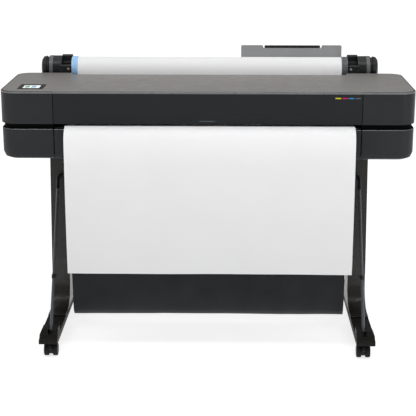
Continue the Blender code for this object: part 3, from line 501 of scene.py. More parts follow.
def paint_edge_highlight(obj, level, finish):
    """Gives the forward-facing faces above a level a lighter finish: a painted highlight on the
    rounded top edge.
    """
    bm = bmesh.new()
    bm.from_mesh(obj.data)
    bmesh.ops.bisect_plane(bm, geom=bm.verts[:] + bm.edges[:] + bm.faces[:],
                           plane_co=(0, 0, level), plane_no=(0, 0, 1))
    bm.normal_update()
    obj.data.materials.append(MATERIAL[finish])
    for face in bm.faces:
        if face.normal.y < -0.3 and face.calc_center_median().z > level:
            face.material_index = 1
    bm.to_mesh(obj.data)
    bm.free()


def along_y(u, v, w):
    """u is X, v is Z and w is Y."""
    return Vector((u, w, v))


def along_z(u, v, w):
    """u is X, v is Y and w is Z."""
    return Vector((u, v, w))


def add_prism(bm, outline, start, end, place):
    """A flat outline pushed from start to end along the third axis of place."""
    near, far = ([bm.verts.new(place(u, v, w)) for u, v in outline] for w in (start, end))
    count = len(outline)
    for i in range(count):
        j = (i + 1) % count
        bm.faces.new((near[i], near[j], far[j], far[i]))
    bm.faces.new(near[::-1])
    bm.faces.new(far)


def rounded(u0, u1, v0, v1, radius, steps=5):
    """Outline of a rectangle with round corners."""
    points = []
    corners = ((u1 - radius, v1 - radius, 0), (u0 + radius, v1 - radius, 90),
               (u0 + radius, v0 + radius, 180), (u1 - radius, v0 + radius, 270))
    for cu, cv, start in corners:
        for k in range(steps + 1):
            a = math.radians(start + 90 * k / steps)
            points.append((cu + radius * math.cos(a), cv + radius * math.sin(a)))
    return points


def add_box(bm, x, y, z):
    add_prism(bm, [(x[0], y[0]), (x[1], y[0]), (x[1], y[1]), (x[0], y[1])], z[0], z[1], along_z)


def across(axis):
    """Two unit vectors square to axis and to each other."""
    axis = Vector(axis).normalized()
    helper = Vector((0, 0, 1)) if abs(axis.z) < 0.9 else Vector((0, 1, 0))
    first = axis.cross(helper).normalized()
    return first, axis.cross(first)


def add_lathe(bm, profile, origin, axis, steps=48, closed=False):
    """Turns (distance along the axis, radius) points about the axis."""
    axis = Vector(axis).normalized()
    first, second = across(axis)
    rings = []
    for distance, radius in profile:
        centre = Vector(origin) + axis * distance
        if radius < 1e-6:
            rings.append([bm.verts.new(centre)])
            continue
        angles = (math.tau * k / steps for k in range(steps))
        rings.append([bm.verts.new(centre + (first * math.cos(a) + second * math.sin(a)) * radius)
                      for a in angles])
    pairs = list(zip(rings, rings[1:])) + ([(rings[-1], rings[0])] if closed else [])
    for a, b in pairs:
        for k in range(steps):
            m = (k + 1) % steps
            corners = [a[k % len(a)], a[m % len(a)], b[m % len(b)], b[k % len(b)]]
            unique = list(dict.fromkeys(corners))
            if len(unique) > 2:
                bm.faces.new(unique)


def add_screw(bm, place, normal, radius=0.0035):
    """A pan head with a round drive recess, sitting on its surface."""
    r = radius
    profile = [(-0.0005, 0), (-0.0005, r), (r * 0.2, r), (r * 0.42, r * 0.86), (r * 0.55, r * 0.5),
               (r * 0.55, r * 0.42), (r * 0.2, r * 0.36), (r * 0.2, 0)]
    add_lathe(bm, profile, place, normal, 20)


def screws(name, places, normal, body=ROOT, radius=0.0035):
    bm = bmesh.new()
    for place in places:
        add_screw(bm, place, normal, radius)
    return piece(name, bm, "screw", body)


def ribs(name, node, count, half, y_range, z_range, finish, bevel):
    """Evenly spaced upright ribs across a node."""
    lo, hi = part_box(node)
    bm = bmesh.new()
    for k in range(count):
        x = lo.x + (hi.x - lo.x) * (k + 1) / (count + 1)
        add_box(bm, (x - half, x + half), y_range, z_range)
    piece(name, bm, finish, ROOT, bevel=bevel)


def add_spokes(bm, count, origin, way, radii, half, depths):
    """Flat spokes between two radii of a wheel, and between two distances along its axle."""
    inner, outer = radii
    corners = [(inner, -half), (outer, -half), (outer, half), (inner, half)]
    for k in range(count):
        angle = math.tau * k / count
        out = Vector((0, math.cos(angle), math.sin(angle)))
        beside = Vector((0, -math.sin(angle), math.cos(angle)))

        def spot(u, v, w, out=out, beside=beside):
            return origin + out * u + beside * v + Vector((way * w, 0, 0))

        add_prism(bm, corners, *depths, spot)


def catmull(knots, step):
    """A smooth curve through the knots, as points about a step apart."""
    ends = [tuple(2 * a - b for a, b in zip(knots[0], knots[1])), *knots,
            tuple(2 * a - b for a, b in zip(knots[-1], knots[-2]))]
    points = []
    for p0, p1, p2, p3 in zip(ends, ends[1:], ends[2:], ends[3:]):
        count = max(1, round(math.dist(p1, p2) / step))
        for k in range(count):
            t = k / count
            points.append(tuple(
                0.5 * (2 * b + (c - a) * t + (2 * a - 5 * b + 4 * c - d) * t * t
                       + (3 * b - a - 3 * c + d) * t ** 3)
                for a, b, c, d in zip(p0, p1, p2, p3)))
    points.append(knots[-1])
    return points


# ---------------------------------------------------------------------------
# Floor
# ---------------------------------------------------------------------------
FLOOR_HALF = 60.0
FLOOR_TONES = (0.62, 0.64)
FLOOR_GLOW = 0.74


def make_floor():
    """Pale, with some light of its own, so that the background stays white."""
    n = Nodes("floor")
    tone = n.spread(n.noise(0.7, 2), 0, 1)
    dark, light = ((level, level, level, 1) for level in FLOOR_TONES)
    n.set(Base_Color=n.mix(tone, dark, light), Roughness=0.9)
    n.set(Specular_IOR_Level=0.0, Emission_Color=(1, 1, 1, 1), Emission_Strength=FLOOR_GLOW)
    bm = bmesh.new()
    bmesh.ops.create_grid(bm, x_segments=4, y_segments=4, size=FLOOR_HALF)
    floor = new_object("floor", bm, n.material)


make_floor()

# ---------------------------------------------------------------------------
# Housing
# ---------------------------------------------------------------------------
BAR_HEIGHT = 0.0038
BAR_LEVEL = 0.8285
INK_BARS = [("yellow", 0.4010, 0.4190), ("magenta", 0.4226, 0.4400), ("cyan", 0.4420, 0.4590),
            ("black", 0.4630, 0.4800)]
LIGHT_LINE = (-0.0255, 0.0255, 0.7528, 0.7556)      # left, right, bottom, top
# How far below the top the painted highlight along each shell's front edge reaches.
PAINTED_HIGHLIGHT_DEPTH = {"housing": 0.0060, "lower": 0.0022}
SEAM_WIDTH = 0.0013         # to each side of a seam
SEAM_DEPTH = 0.0022
SEAM_SLACK = 0.0004
SEAM_TOP = TOP - 0.0062     # where the seams end, under the top panel


def seam_cutter(seams, node):
    """The shallow groove along the front of each seam."""
    lo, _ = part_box(node)
    groove = bmesh.new()
    for x in seams:
        add_box(groove, (x - SEAM_WIDTH, x + SEAM_WIDTH), (lo.y - 0.001, lo.y + SEAM_DEPTH),
                (lo.z - 0.01, SEAM_TOP))
    return groove


def paint_seam_shade(obj, seams, front):
    """The groove's faces get the near-black gap finish, as painted shade for the dark inside of the
    seam.
    """
    obj.data.materials.append(MATERIAL["gap"])
    for face in obj.data.polygons:
        x, y, _ = face.center
        near = any(abs(x - seam) < SEAM_WIDTH + SEAM_SLACK for seam in seams)
        if near and front + SEAM_SLACK < y < front + SEAM_DEPTH + SEAM_SLACK:
            face.material_index = len(obj.data.materials) - 1


def seamed_shell(node, finish, band, seams):
    """A shell of the housing, with a lighter band along its top as painted highlight, and a groove at
    each seam that holds painted shade.
    """
    shell = refined(node, finish, 0.0005, cutter=seam_cutter(seams, node))
    paint_edge_highlight(shell, high(node).z - PAINTED_HIGHLIGHT_DEPTH[band], f"{band}_edge")
    paint_seam_shade(shell, seams, low(node).y)


def make_shells():
    for side, way in SIDES.items():
        for node, finish in ((f"upper_cap_{side}", "housing"), (f"lower_cap_{side}", "lower")):
            seamed_shell(node, finish, finish, (end_x(node, -way),))
        refined(f"gap_trim_{side}", "gap", 0.0004)
    for node, finish, band in (("lower_front", "lower", "lower"),
                               ("front_cover", "cover", "housing")):
        seamed_shell(node, finish, band, (end_x(node, -1), end_x(node, 1)))
    refined("top_panel", "panel", 0.0012, 3)


def cover_mark(name, outline, finish):
    face = low("front_cover").y
    bm = bmesh.new()
    add_prism(bm, outline, face - PROUD, face + INLAY, along_y)
    piece(name, bm, finish, "cover", bevel=0.0001)


def make_cover_marks():
    """The bars of the four inks, and the light line at the middle of the lower edge."""
    for ink, left, right in INK_BARS:
        outline = rounded(left, right, BAR_LEVEL - BAR_HEIGHT / 2, BAR_LEVEL + BAR_HEIGHT / 2, 0.0008)
        cover_mark(f"ink_bar_{ink}", outline, f"ink_{ink}")
    cover_mark("cover_light_line", rounded(*LIGHT_LINE, 0.0012), "pale_line")


SCREEN_X = (-0.5925, -0.5390)
SCREEN_DEPTH = (0.066, 0.118)
SCREEN_LEVEL = 0.8477
SCREEN_MARGIN = 0.0005
ICONS = [("icon_tray", -0.5869, -0.5719, "icon_green"), ("icon_drop", -0.5665, -0.5510, "icon_blue")]
ICON_HALF = 0.017
TRAY_MARK_X = -0.5794
DROP_MARK_X = -0.5588
DROP_RADIUS = 0.0012
LAYER = 0.0001              # how far an icon stands above the screen, and its mark above it


def make_control_panel():
    """Bezel, lit screen, and two plain icons: a page going into a tray, and a drop."""
    refined("control_panel", "bezel", 0.0005)
    x0, x1 = SCREEN_X
    y0, y1 = (at(d) for d in SCREEN_DEPTH)
    edge = SCREEN_MARGIN
    bm = bmesh.new()
    add_prism(bm, rounded(x0 + edge, x1 - edge, y0 + edge, y1 - edge, 0.002),
              SCREEN_LEVEL - 0.0008, SCREEN_LEVEL, along_z)
    piece("screen", bm, "screen", ROOT, bevel=0.0001)
    mid = (y0 + y1) / 2
    base = SCREEN_LEVEL + LAYER
    for name, left, right, finish in ICONS:
        bm = bmesh.new()
        add_prism(bm, rounded(left, right, mid - ICON_HALF, mid + ICON_HALF, 0.003),
                  SCREEN_LEVEL - 0.0003, base, along_z)
        piece(name, bm, finish, ROOT)
    marks = bmesh.new()
    cx = TRAY_MARK_X
    add_box(marks, (cx - 0.002, cx + 0.002), (mid - 0.004, mid - 0.0035), (base, base + LAYER))
    arrow = [(cx, mid - 0.0028), (cx + 0.0013, mid - 0.0008), (cx + 0.0003, mid - 0.0008),
             (cx + 0.0003, mid + 0.003), (cx - 0.0003, mid + 0.003), (cx - 0.0003, mid - 0.0008),
             (cx - 0.0013, mid - 0.0008)]
    add_prism(marks, arrow, base, base + LAYER, along_z)
    cx = DROP_MARK_X
    drop = [(cx, mid + 0.003)]
    drop += [(cx + DROP_RADIUS * math.cos(a), mid - 0.0008 + DROP_RADIUS * math.sin(a))
             for a in (math.radians(d) for d in range(30, -211, -20))]
    add_prism(marks, drop, base, base + LAYER, along_z)
    piece("icon_marks", marks, "icon_mark", ROOT)


make_shells()
make_cover_marks()
make_control_panel()

# ---------------------------------------------------------------------------
# Back of the housing
# ---------------------------------------------------------------------------

VENTS = ((-0.42, -0.30), (-0.26, -0.14), (0.20, 0.32))      # left and right end of each row
VENT_LEVELS = (0.662, 0.698)
VENT_PITCH = 0.008
VENT_WIDTH = 0.0035
REAR_SCREW_LEVELS = (0.646, 0.756)


def vent_cutter(rear):
    """Rows of upright round-ended slots through the rear wall."""
    cutter = bmesh.new()
    for left, right in VENTS:
        for k in range(int((right - left) / VENT_PITCH)):
            x = left + VENT_PITCH * (k + 0.5)
            outline = rounded(x - VENT_WIDTH / 2, x + VENT_WIDTH / 2, *VENT_LEVELS,
                              VENT_WIDTH * 0.49, 4)
            add_prism(cutter, outline, rear - 0.010, rear + 0.010, along_y)
    return cutter


def make_back():
    rear = high("chassis").y
    refined("chassis", "zinc", 0.0004, 2, vent_cutter(rear))
    places = [(x / 1000, rear, z) for x in range(-460, 461, 115) for z in REAR_SCREW_LEVELS]
    screws("screws_rear_wall", places, (0, 1, 0), radius=0.0032)
    lo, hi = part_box("rear_cover")
    refined("rear_cover", "housing", 0.0004)
    ribs("rear_cover_ribs", "rear_cover", 24, 0.0009, (hi.y - 0.0004, hi.y + 0.0012),
         (lo.z + 0.006, hi.z - 0.008), "housing", 0.0003)
    refined("rear_guide", "black", 0.0005)


INLET_PINS = ((0, 0.0022), (-0.0062, -0.0015), (0.0062, -0.0015))   # from the inlet's middle


def make_inlet():
    refined("power_inlet", "black", 0.0005)
    centre, rear = middle("power_inlet"), high("power_inlet").y
    bm = bmesh.new()
    for dx, dz in INLET_PINS:
        x, z = centre.x + dx, centre.z + dz
        add_box(bm, (x - 0.0010, x + 0.0010), (rear - 0.0115, rear - 0.0025), (z - 0.0022, z + 0.0022))
    piece("inlet_pins", bm, "steel", ROOT, bevel=0.0002)
    refined("power_switch", "black", 0.0006)
    lo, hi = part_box("power_switch")
    bm, cutter = bmesh.new(), bmesh.new()
    add_prism(bm, rounded(lo.x - 0.0014, hi.x + 0.0014, lo.z - 0.0026, hi.z + 0.0026, 0.0015),
              at(REAR_DEPTH - 0.0004), at(REAR_DEPTH + 0.0004), along_y)
    add_box(cutter, (lo.x - 0.0003, hi.x + 0.0003), (at(REAR_DEPTH - 0.01), at(REAR_DEPTH + 0.01)),
            (lo.z - 0.0014, hi.z + 0.0014))
    piece("switch_frame", bm, "graphite", ROOT, cutter=cutter)


make_back()
make_inlet()

# ---------------------------------------------------------------------------
# Inside, seen with the cover lifted
# ---------------------------------------------------------------------------

PLATEN_RIBS = 60
RAIL_SCREW_LEVEL = 0.815
BELT_PITCH = 0.004


def make_platen():
    lo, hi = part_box("platen")
    refined("platen", "black", 0.0005)
    bm = bmesh.new()
    for k in range(PLATEN_RIBS):
        x = lo.x + (hi.x - lo.x) * (k + 0.5) / PLATEN_RIBS
        add_box(bm, (x - 0.0012, x + 0.0012), (lo.y + 0.012, hi.y - 0.012),
                (hi.z - 0.0005, hi.z + 0.0003))
    piece("platen_ribs", bm, "graphite", ROOT, bevel=0.0001)


def make_feed():
    for node, finish, bevel in (("feed_roller", "rubber", 0.0003), ("pinch_rollers", "rubber", 0.0003),
                                ("feed_motor", "black", 0.0006), ("motor_pulley", "steel", 0.0003)):
        refined(node, finish, bevel, smooth=50)
    refined("feed_belt", "rubber", 0.0002)


def make_rail():
    refined("carriage_rail", "rail", 0.0005)
    front = low("carriage_rail").y
    places = [(x / 1000, front + 0.018, RAIL_SCREW_LEVEL) for x in range(-560, 561, 160)]
    screws("screws_rail", places, (0, -1, 0), radius=0.003)
    refined("carriage_belt", "rubber", 0.0001)
    lo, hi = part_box("carriage_belt")
    bm = bmesh.new()
    for k in range(int((hi.x - lo.x - 0.04) / BELT_PITCH)):
        x = lo.x + 0.02 + BELT_PITCH * k
        add_box(bm, (x, x + BELT_PITCH / 2), (lo.y - 0.0003, lo.y + 0.0002),
                (lo.z + 0.001, lo.z + 0.006))
    piece("belt_teeth", bm, "rubber", ROOT)


def make_carriage():
    refined("print_carriage", "black", 0.0012, 3)
    lo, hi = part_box("print_carriage")
    bm = bmesh.new()
    for k in range(7):
        x = lo.x + 0.021 + 0.0105 * k
        add_prism(bm, rounded(x - 0.002, x + 0.002, at(0.112), at(0.160), 0.0018), hi.z - 0.001,
                  hi.z + 0.0006, along_z)
    piece("carriage_vents", bm, "graphite", "carriage", bevel=0.0002)
    bm = bmesh.new()
    add_prism(bm, rounded(lo.x + 0.014, hi.x - 0.014, 0.758, 0.802, 0.003), lo.y - 0.0004,
              lo.y + 0.02, along_y)
    piece("carriage_latch", bm, "blue", "carriage", bevel=0.0008)
    places = [(x, at(depth), hi.z) for depth in (0.17, 0.104) for x in (lo.x + 0.008, hi.x - 0.008)]
    screws("screws_carriage", places, (0, 0, 1), "carriage", 0.0026)


def make_ink():
    refined("service_station", "black", 0.0006)
    for ink in ("yellow", "magenta", "cyan", "black"):
        node = f"ink_cartridge_{ink}"
        refined(node, "black", 0.0008)
        lo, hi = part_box(node)
        bm = bmesh.new()
        add_prism(bm, rounded(lo.x + 0.003, hi.x - 0.003, lo.z + 0.008, hi.z - 0.014, 0.002),
                  lo.y - PROUD, lo.y + INLAY, along_y)
        add_prism(bm, rounded(lo.x + 0.004, hi.x - 0.004, lo.y + 0.010, hi.y - 0.010, 0.002),
                  hi.z - INLAY, hi.z + PROUD, along_z)
        piece(f"ink_label_{ink}", bm, f"ink_{ink}", ROOT, bevel=0.0001)


make_platen()
make_feed()
make_rail()
make_carriage()
make_ink()

# ---------------------------------------------------------------------------
# Paper, roll, holders and tray
# ---------------------------------------------------------------------------
PAPER_THICK = 0.00035
PAPER_KNOTS = [(0.4484, 0.8175), (0.3552, 0.7847), (0.2620, 0.7519), (0.2250, 0.7353),
               (0.2065, 0.7317), (0.1500, 0.7317), (0.1050, 0.7317), (0.0600, 0.7339),
               (0.0100, 0.7375), (-0.0120, 0.7371), (-0.0320, 0.7285), (-0.0450, 0.7110),
               (-0.0500, 0.6840), (-0.0520, 0.6300), (-0.0560, 0.4800), (-0.0550, 0.3400),
               (-0.0515, 0.2645)]
CREEP = 0.0075              # how far the sheet has moved sideways by the time it hangs
CREEP_DEPTHS = (0.225, -0.020)      # where that starts, and where it is complete


def add_strip(bm, path, xs, lift, creep=0.0):
    """A surface along a (depth, z) path; lift(x, s, z) gives how far a point moves in depth."""
    first, last = CREEP_DEPTHS
    rows = []
    travelled = 0
    for i, (depth, z) in enumerate(path):
        if i:
            travelled += math.dist(path[i], path[i - 1])
        aside = creep * clamp((first - depth) / (first - last))
        rows.append([bm.verts.new((x + aside, at(depth) + lift(x, travelled, z), z)) for x in xs])
    for a, b in zip(rows, rows[1:]):
        for k in range(len(xs) - 1):
            bm.faces.new((a[k], a[k + 1], b[k + 1], b[k]))


def thicken(obj, thickness, offset=0):
    solid = obj.modifiers.new("thickness", "SOLIDIFY")
    solid.thickness, solid.offset = thickness, offset
    apply_modifiers(obj)


def flat_piece(name, bm, finish, thickness, levels=0, offset=0):
    """A thin sheet from an open surface, not yet riding on anything."""
    obj = new_object(name, bm, MATERIAL[finish])
    if levels:
        smooth = obj.modifiers.new("smooth", "SUBSURF")
        smooth.levels = smooth.render_levels = levels
    thicken(obj, thickness, offset)
    shade_smooth(obj, 60)
    return obj


EXIT_LEVEL = 0.70           # below this the sheet hangs free
SHEET_COLUMNS = 60


def hang_ripple(x, s, z):
    """How far the hanging sheet stands off its plain curve."""
    free = clamp((EXIT_LEVEL - z) / 0.4)
    return 0.0016 * free * math.sin(x * 9 + 0.6) + 0.0007 * free * math.sin(x * 23 + z * 5)


def make_paper():
    lo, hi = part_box("paper_sheet")
    width = hi.x - lo.x - CREEP
    xs = [lo.x + width * k / SHEET_COLUMNS for k in range(SHEET_COLUMNS + 1)]
    bm = bmesh.new()
    add_strip(bm, catmull(PAPER_KNOTS, 0.006), xs, hang_ripple, CREEP)
    sheet = flat_piece("paper_hanging", bm, "paper", PAPER_THICK)
    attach(sheet, ROOT)
    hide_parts("paper_sheet")


ROLL_CORE = 0.0276          # radius inside the paper
ROLL_BORE = 0.0255          # radius inside the cardboard core
ROLL_STEPS = 9              # rings of turns that show at the roll's ends


def make_roll():
    lo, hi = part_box("paper_roll")
    axis = axis_of("paper_roll")
    radius = (hi.z - lo.z) / 2
    edge = radius - 0.0005
    bm = bmesh.new()
    add_lathe(bm, [(lo.x + 0.0003, ROLL_CORE), (lo.x + 0.0003, edge), (lo.x + 0.0012, radius),
                   (hi.x - 0.0012, radius), (hi.x - 0.0003, edge), (hi.x - 0.0003, ROLL_CORE)],
              axis, X_AXIS, 96, closed=True)
    piece("roll_paper", bm, "roll_side", "roll", ("paper_roll",))
    bm = bmesh.new()
    wound = radius - 0.001 - ROLL_CORE
    for end, way in ((lo.x, -1), (hi.x, 1)):
        deep = end - way * 0.002
        for k in range(ROLL_STEPS):
            inner = ROLL_CORE + wound * k / ROLL_STEPS
            outer = ROLL_CORE + wound * (k + 0.92) / ROLL_STEPS
            out = end - way * (0.00025 - 0.00012 * (k % 3))
            add_lathe(bm, [(deep, inner), (out, inner), (out, outer), (deep, outer)], axis, X_AXIS,
                      96, closed=True)
    piece("roll_ends", bm, "roll_end", "roll")
    bm = bmesh.new()
    left, right, outside = lo.x + 0.0002, hi.x - 0.0002, ROLL_CORE - 0.0002
    add_lathe(bm, [(left, ROLL_BORE), (left, outside), (right, outside), (right, ROLL_BORE)],
              axis, X_AXIS, 64, closed=True)
    piece("roll_core", bm, "board", "roll")
    refined("spindle_rod", "black", 0.0004, smooth=50)


HUB_WIDTH = 0.021           # the ring outside the roll; its plug inside the core is hidden
HUB_GROOVE = 0.0011


def make_hubs():
    """The end pieces that centre the roll: a ribbed rim, a web with spokes, and a boss."""
    width = HUB_WIDTH
    face, web, boss = width - 0.0002, width - 0.006, width - 0.0006
    for side, finish in (("left", "blue"), ("right", "graphite")):
        node = f"hub_{side}"
        way = SIDES[side]
        origin = axis_of(node)
        origin.x = end_x(node, way) - way * width
        rim = (high(node).z - low(node).z) / 2
        profile = [(0.0002, 0.012), (0.0002, rim - 0.001), (0.0012, rim)]
        for k in range(3):
            start = width * (0.22 + 0.22 * k)
            profile += [(start, rim), (start + 0.0006, rim - HUB_GROOVE),
                        (start + 0.0016, rim - HUB_GROOVE), (start + 0.0022, rim)]
        profile += [(width - 0.0015, rim), (face, rim - 0.0012), (face, rim - 0.005),
                    (web, rim - 0.006), (web, 0.018), (boss, 0.017), (boss, 0.0095),
                    (0.0002, 0.0095)]
        bm = bmesh.new()
        add_lathe(bm, profile, origin, (way, 0, 0), 72, closed=True)
        piece(f"{node}_ring", bm, finish, "roll", (node,), bevel=0.0002)
        spokes = bmesh.new()
        add_spokes(spokes, 8, origin, way, (0.0165, rim - 0.0058), 0.0012,
                   (width - 0.0065, width - 0.0018))
        piece(f"{node}_spokes", spokes, finish, "roll", bevel=0.0002)


DRUM_RADIUS = 0.0442        # of a roll holder
# Where the band of painted highlight sits on each holder's drum.
BAND_PLACES = (0.0290, 0.0410)      # in from the holder's outer face
# Where the ring of painted highlight sits on each holder's flange.
FLANGE_PLACE = 0.0705
KNOB_LEVEL = 0.8605
HOLDER_SCREWS = (-0.5585, -0.5185, 0.5305, 0.5705)      # their X, two for each holder


def make_holders():
    axis = axis_of("paper_roll")
    drum, flange = DRUM_RADIUS, FLANGE_PLACE
    first, last = BAND_PLACES
    for side, way in SIDES.items():
        node = f"roll_holder_{side}"
        refined(node, "black", 0.0008, smooth=45)
        centre = (end_x(node, way), axis.y, axis.z)
        inward = (-way, 0, 0)
        # A raised band round the drum in lighter grey: painted highlight.
        bm = bmesh.new()
        add_lathe(bm, [(first, drum - 0.003), (first, drum + 0.0003), (first + 0.001, drum + 0.0006),
                       (last - 0.001, drum + 0.0006), (last, drum + 0.0003), (last, drum - 0.003)],
                  centre, inward, 72, closed=True)
        piece(f"{node}_band", bm, "graphite", ROOT)
        # A lighter grey ring on the flange's rounded edge: painted highlight.
        bm = bmesh.new()
        add_lathe(bm, [(flange - 0.0016, drum - 0.008), (flange - 0.0016, drum + 0.0002),
                       (flange - 0.0008, drum + 0.0008), (flange, drum + 0.0002),
                       (flange, drum - 0.008)], centre, inward, 72, closed=True)
        piece(f"{node}_flange", bm, "hub", ROOT)
        knob = (end_x(node, -way) + way * 0.0075, at(REAR_DEPTH + 0.0005), KNOB_LEVEL)
        bm = bmesh.new()
        add_lathe(bm, [(-0.001, 0.0), (-0.001, 0.0036), (0.0002, 0.0040), (0.0010, 0.0036),
                       (0.0015, 0.0018), (0.0016, 0.0)], knob, (0, -1, 0), 24)
        piece(f"{node}_knob", bm, "tray", ROOT)
        places = [(x, at(REAR_DEPTH + 0.018), high("rear_cover").z - 0.0026)
                  for x in HOLDER_SCREWS if x * way > 0]
        screws(f"{node}_screws", places, (0, 0, 1), radius=0.003)


def make_tray():
    refined("tray_panel", "tray", 0.0006, smooth=45)
    refined("tray_extension", "black", 0.0004)
    lo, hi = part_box("tray_panel")
    ribs("tray_ribs", "tray_panel", 9, 0.0008, (hi.y - 0.0003, hi.y + 0.0004),
         (lo.z + 0.004, lo.z + 0.016), "tray", 0.0001)


make_paper()
make_roll()
make_hubs()
make_holders()
make_tray()

# ---------------------------------------------------------------------------
# Stand
# ---------------------------------------------------------------------------

LEG_SCREWS = ((0.275, 0.612), (0.318, 0.612), (0.272, 0.560), (0.312, 0.560))    # depth and height
FOOT_TOP = 0.066
FOOT_SCREW_DEPTHS = (-0.030, 0.020, 0.430)
BRACE_SCREW_LEVELS = (0.556, 0.584)


def slant_cutter(edge, way):
    """Takes the outer top edge of a foot's pivot block off on a slant."""
    out, back = edge + way * 0.002, edge - way * 0.0085
    cutter = bmesh.new()
    add_prism(cutter, [(out, 0.068), (out, 0.1), (back, 0.1), (back, 0.0905)], at(-0.115),
              at(-0.050), along_y)
    return cutter


def make_legs():
    for side, way in SIDES.items():
        leg, foot = f"leg_{side}", f"foot_{side}"
        refined(leg, "leg", 0.0012, 3)
        refined(foot, "foot", 0.0010, 3, cutter=slant_cutter(end_x(foot, way), way))
        places = [(end_x(leg, way), at(depth), z) for depth, z in LEG_SCREWS]
        screws(f"leg_screws_{side}", places, (way, 0, 0), radius=0.0045)
        centre = (low(foot).x + high(foot).x) / 2
        places = [(centre + dx, at(depth), FOOT_TOP) for depth in FOOT_SCREW_DEPTHS
                  for dx in (-0.018, 0.018)]
        screws(f"foot_screws_{side}", places, (0, 0, 1), radius=0.003)


def make_brace():
    refined("cross_brace", "leg", 0.0010, 3)
    lo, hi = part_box("cross_brace")
    for name, y, way in (("brace_screws", lo.y, -1), ("brace_screws_rear", hi.y, 1)):
        places = [(end * (hi.x - 0.012), y, z) for end in (-1, 1) for z in BRACE_SCREW_LEVELS]
        screws(name, places, (0, way, 0), radius=0.0045)


WHEEL_IN, WHEEL_OUT = 0.0068, 0.0220    # a wheel's inner and outer face, from the caster's middle


def make_casters():
    width = WHEEL_OUT - WHEEL_IN
    face = width - 0.0002
    axle = WHEEL_OUT - 0.0004
    for end, side in CORNERS:
        refined(f"caster_fork_{end}_{side}", "caster", 0.0006, 2, smooth=45)
        node = f"caster_wheels_{end}_{side}"
        body = frame["nodes"][node]["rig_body"]
        centre = middle(node)
        r = (high(node).z - low(node).z) / 2
        tyres, hubs = bmesh.new(), bmesh.new()
        for way in (-1, 1):
            origin = centre + Vector((way * WHEEL_IN, 0, 0))
            add_lathe(tyres, [(0, r * 0.74), (0, r - 0.002), (0.0008, r - 0.0006), (0.002, r),
                              (width - 0.003, r), (width - 0.001, r - 0.0008), (face, r - 0.0028),
                              (face, r * 0.74)],
                      origin, (way, 0, 0), 48, closed=True)
            add_lathe(hubs, [(0.0002, 0.003), (0.0002, r * 0.745), (face - 0.0006, r * 0.745),
                             (face, r * 0.72), (face, r * 0.64), (face - 0.0028, r * 0.60),
                             (face - 0.0028, r * 0.30), (face - 0.0004, r * 0.26),
                             (face, r * 0.2), (face, 0.003)],
                      origin, (way, 0, 0), 48, closed=True)
            add_spokes(hubs, 6, origin, way, (r * 0.24, r * 0.62), 0.0011,
                       (face - 0.004, face - 0.0010))
        add_lathe(hubs, [(-axle, 0), (-axle, 0.0029), (axle, 0.0029), (axle, 0)], centre, X_AXIS, 20)
        piece(f"{node}_tyres", tyres, "tyre", body, (node,))
        piece(f"{node}_hubs", hubs, "hub", body)
    for side in SIDES:
        refined(f"brake_lever_{side}", "caster", 0.0004)


make_legs()
make_brace()
make_casters()

# ---------------------------------------------------------------------------
# Print bin
# ---------------------------------------------------------------------------

TUBE_FOOT = (-0.080, 0.083)         # depth and height of a side tube's two ends
TUBE_HEAD = (0.200, 0.531)
CLIP_LEVEL = 0.232


def make_bin_frame():
    for side, way in SIDES.items():
        refined(f"bin_tube_{side}", "tube", 0.0002, smooth=50)
        refined(f"bin_corner_{side}", "caster", 0.0005, smooth=50)
        lo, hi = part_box(f"bin_tube_{side}")
        start, end = (Vector(((lo.x + hi.x) / 2, at(depth), z)) for depth, z in (TUBE_FOOT, TUBE_HEAD))
        direction = (end - start).normalized()
        clip = start + (end - start) * ((CLIP_LEVEL - start.z) / (end.z - start.z))
        bm = bmesh.new()
        add_lathe(bm, [(-0.007, 0.0052), (-0.007, 0.0068), (0.007, 0.0068), (0.007, 0.0052)], clip,
                  direction, 28, closed=True)
        x0, x1 = sorted((clip.x - way * 0.0058, clip.x - way * 0.0125))
        add_box(bm, (x0, x1), (clip.y - 0.004, clip.y + 0.004), (clip.z - 0.005, clip.z + 0.005))
        piece(f"tube_clip_{side}", bm, "black", "bin_frame", bevel=0.0004)
    for bar in ("bin_top_bar", "bin_rear_bar"):
        refined(bar, "tube", 0.0002, smooth=50)


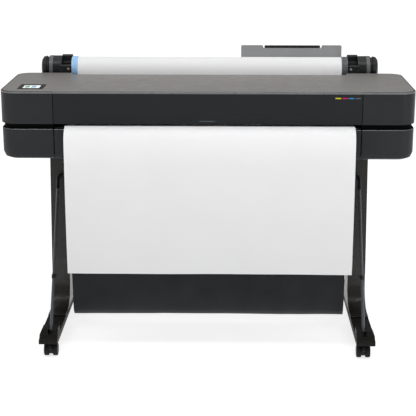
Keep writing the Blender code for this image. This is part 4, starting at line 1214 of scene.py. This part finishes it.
FABRIC_KNOTS = [(0.1965, 0.5240), (0.1770, 0.4000), (0.1620, 0.2500), (0.1570, 0.1700),
                (0.1610, 0.1000), (0.1750, 0.0520), (0.2000, 0.0340), (0.2240, 0.0480),
                (0.2420, 0.1000), (0.2640, 0.2200), (0.2870, 0.3600), (0.2985, 0.4725)]
FABRIC_THICK = 0.0009
FABRIC_HALF = 0.465                 # half its width
FABRIC_COLUMNS = 72
BAR_LEVELS = (0.52, 0.47)           # the top bar, and the rear bar
HEM_STEPS = 26


def cloth_lift(x, s, z):
    """How far the hanging cloth stands off its plain curve: tension folds from the two bars."""
    hang = clamp((BAR_LEVELS[0 if s < 0.5 else 1] - z) / 0.12)
    bend = noise.noise(Vector((x * 5.0, s * 2.6, 0.3)))
    fine = noise.noise(Vector((x * 19.0, s * 5.0, 4.1)))
    corner = math.exp(-((abs(x / FABRIC_HALF) - 1) / 0.16) ** 2)
    pull = corner * math.sin(s * 34 + x * 12) * 0.0022
    return hang * (0.0055 * bend + 0.0016 * fine + pull)


def cloth_hem(name, centre, radius, xs):
    """The sewn sleeve about a bar, a little uneven along its length."""
    angles = [math.tau * k / HEM_STEPS for k in range(HEM_STEPS)]
    bm = bmesh.new()
    rows = []
    for x in xs:
        wobble = 1 + 0.05 * noise.noise(Vector((x * 30, radius * 90, 1.7)))
        rows.append([bm.verts.new((x, centre.y + math.cos(a) * radius * wobble,
                                   centre.z + math.sin(a) * radius * wobble)) for a in angles])
    for a, b in zip(rows, rows[1:]):
        for k in range(HEM_STEPS):
            m = (k + 1) % HEM_STEPS
            bm.faces.new((a[k], a[m], b[m], b[k]))
    return flat_piece(name, bm, "webbing", 0.0008, offset=1)


def make_bin_cloth():
    lo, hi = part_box("bin_fabric")
    path = catmull(FABRIC_KNOTS, 0.012)
    xs = [lo.x + (hi.x - lo.x) * k / FABRIC_COLUMNS for k in range(FABRIC_COLUMNS + 1)]
    bm = bmesh.new()
    add_strip(bm, path, xs, cloth_lift)
    cloth = flat_piece("bin_cloth", bm, "cloth", FABRIC_THICK, levels=1)
    for name, bar, radius, body in (("bin_hem_top", "bin_top_bar", 0.0062, "bin_frame"),
                                    ("bin_hem_rear", "bin_rear_bar", 0.0072, ROOT)):
        hem = cloth_hem(name, middle(bar), radius, xs)
        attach(hem, body)
    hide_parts("bin_fabric")
    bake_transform(cloth)


make_bin_frame()
make_bin_cloth()
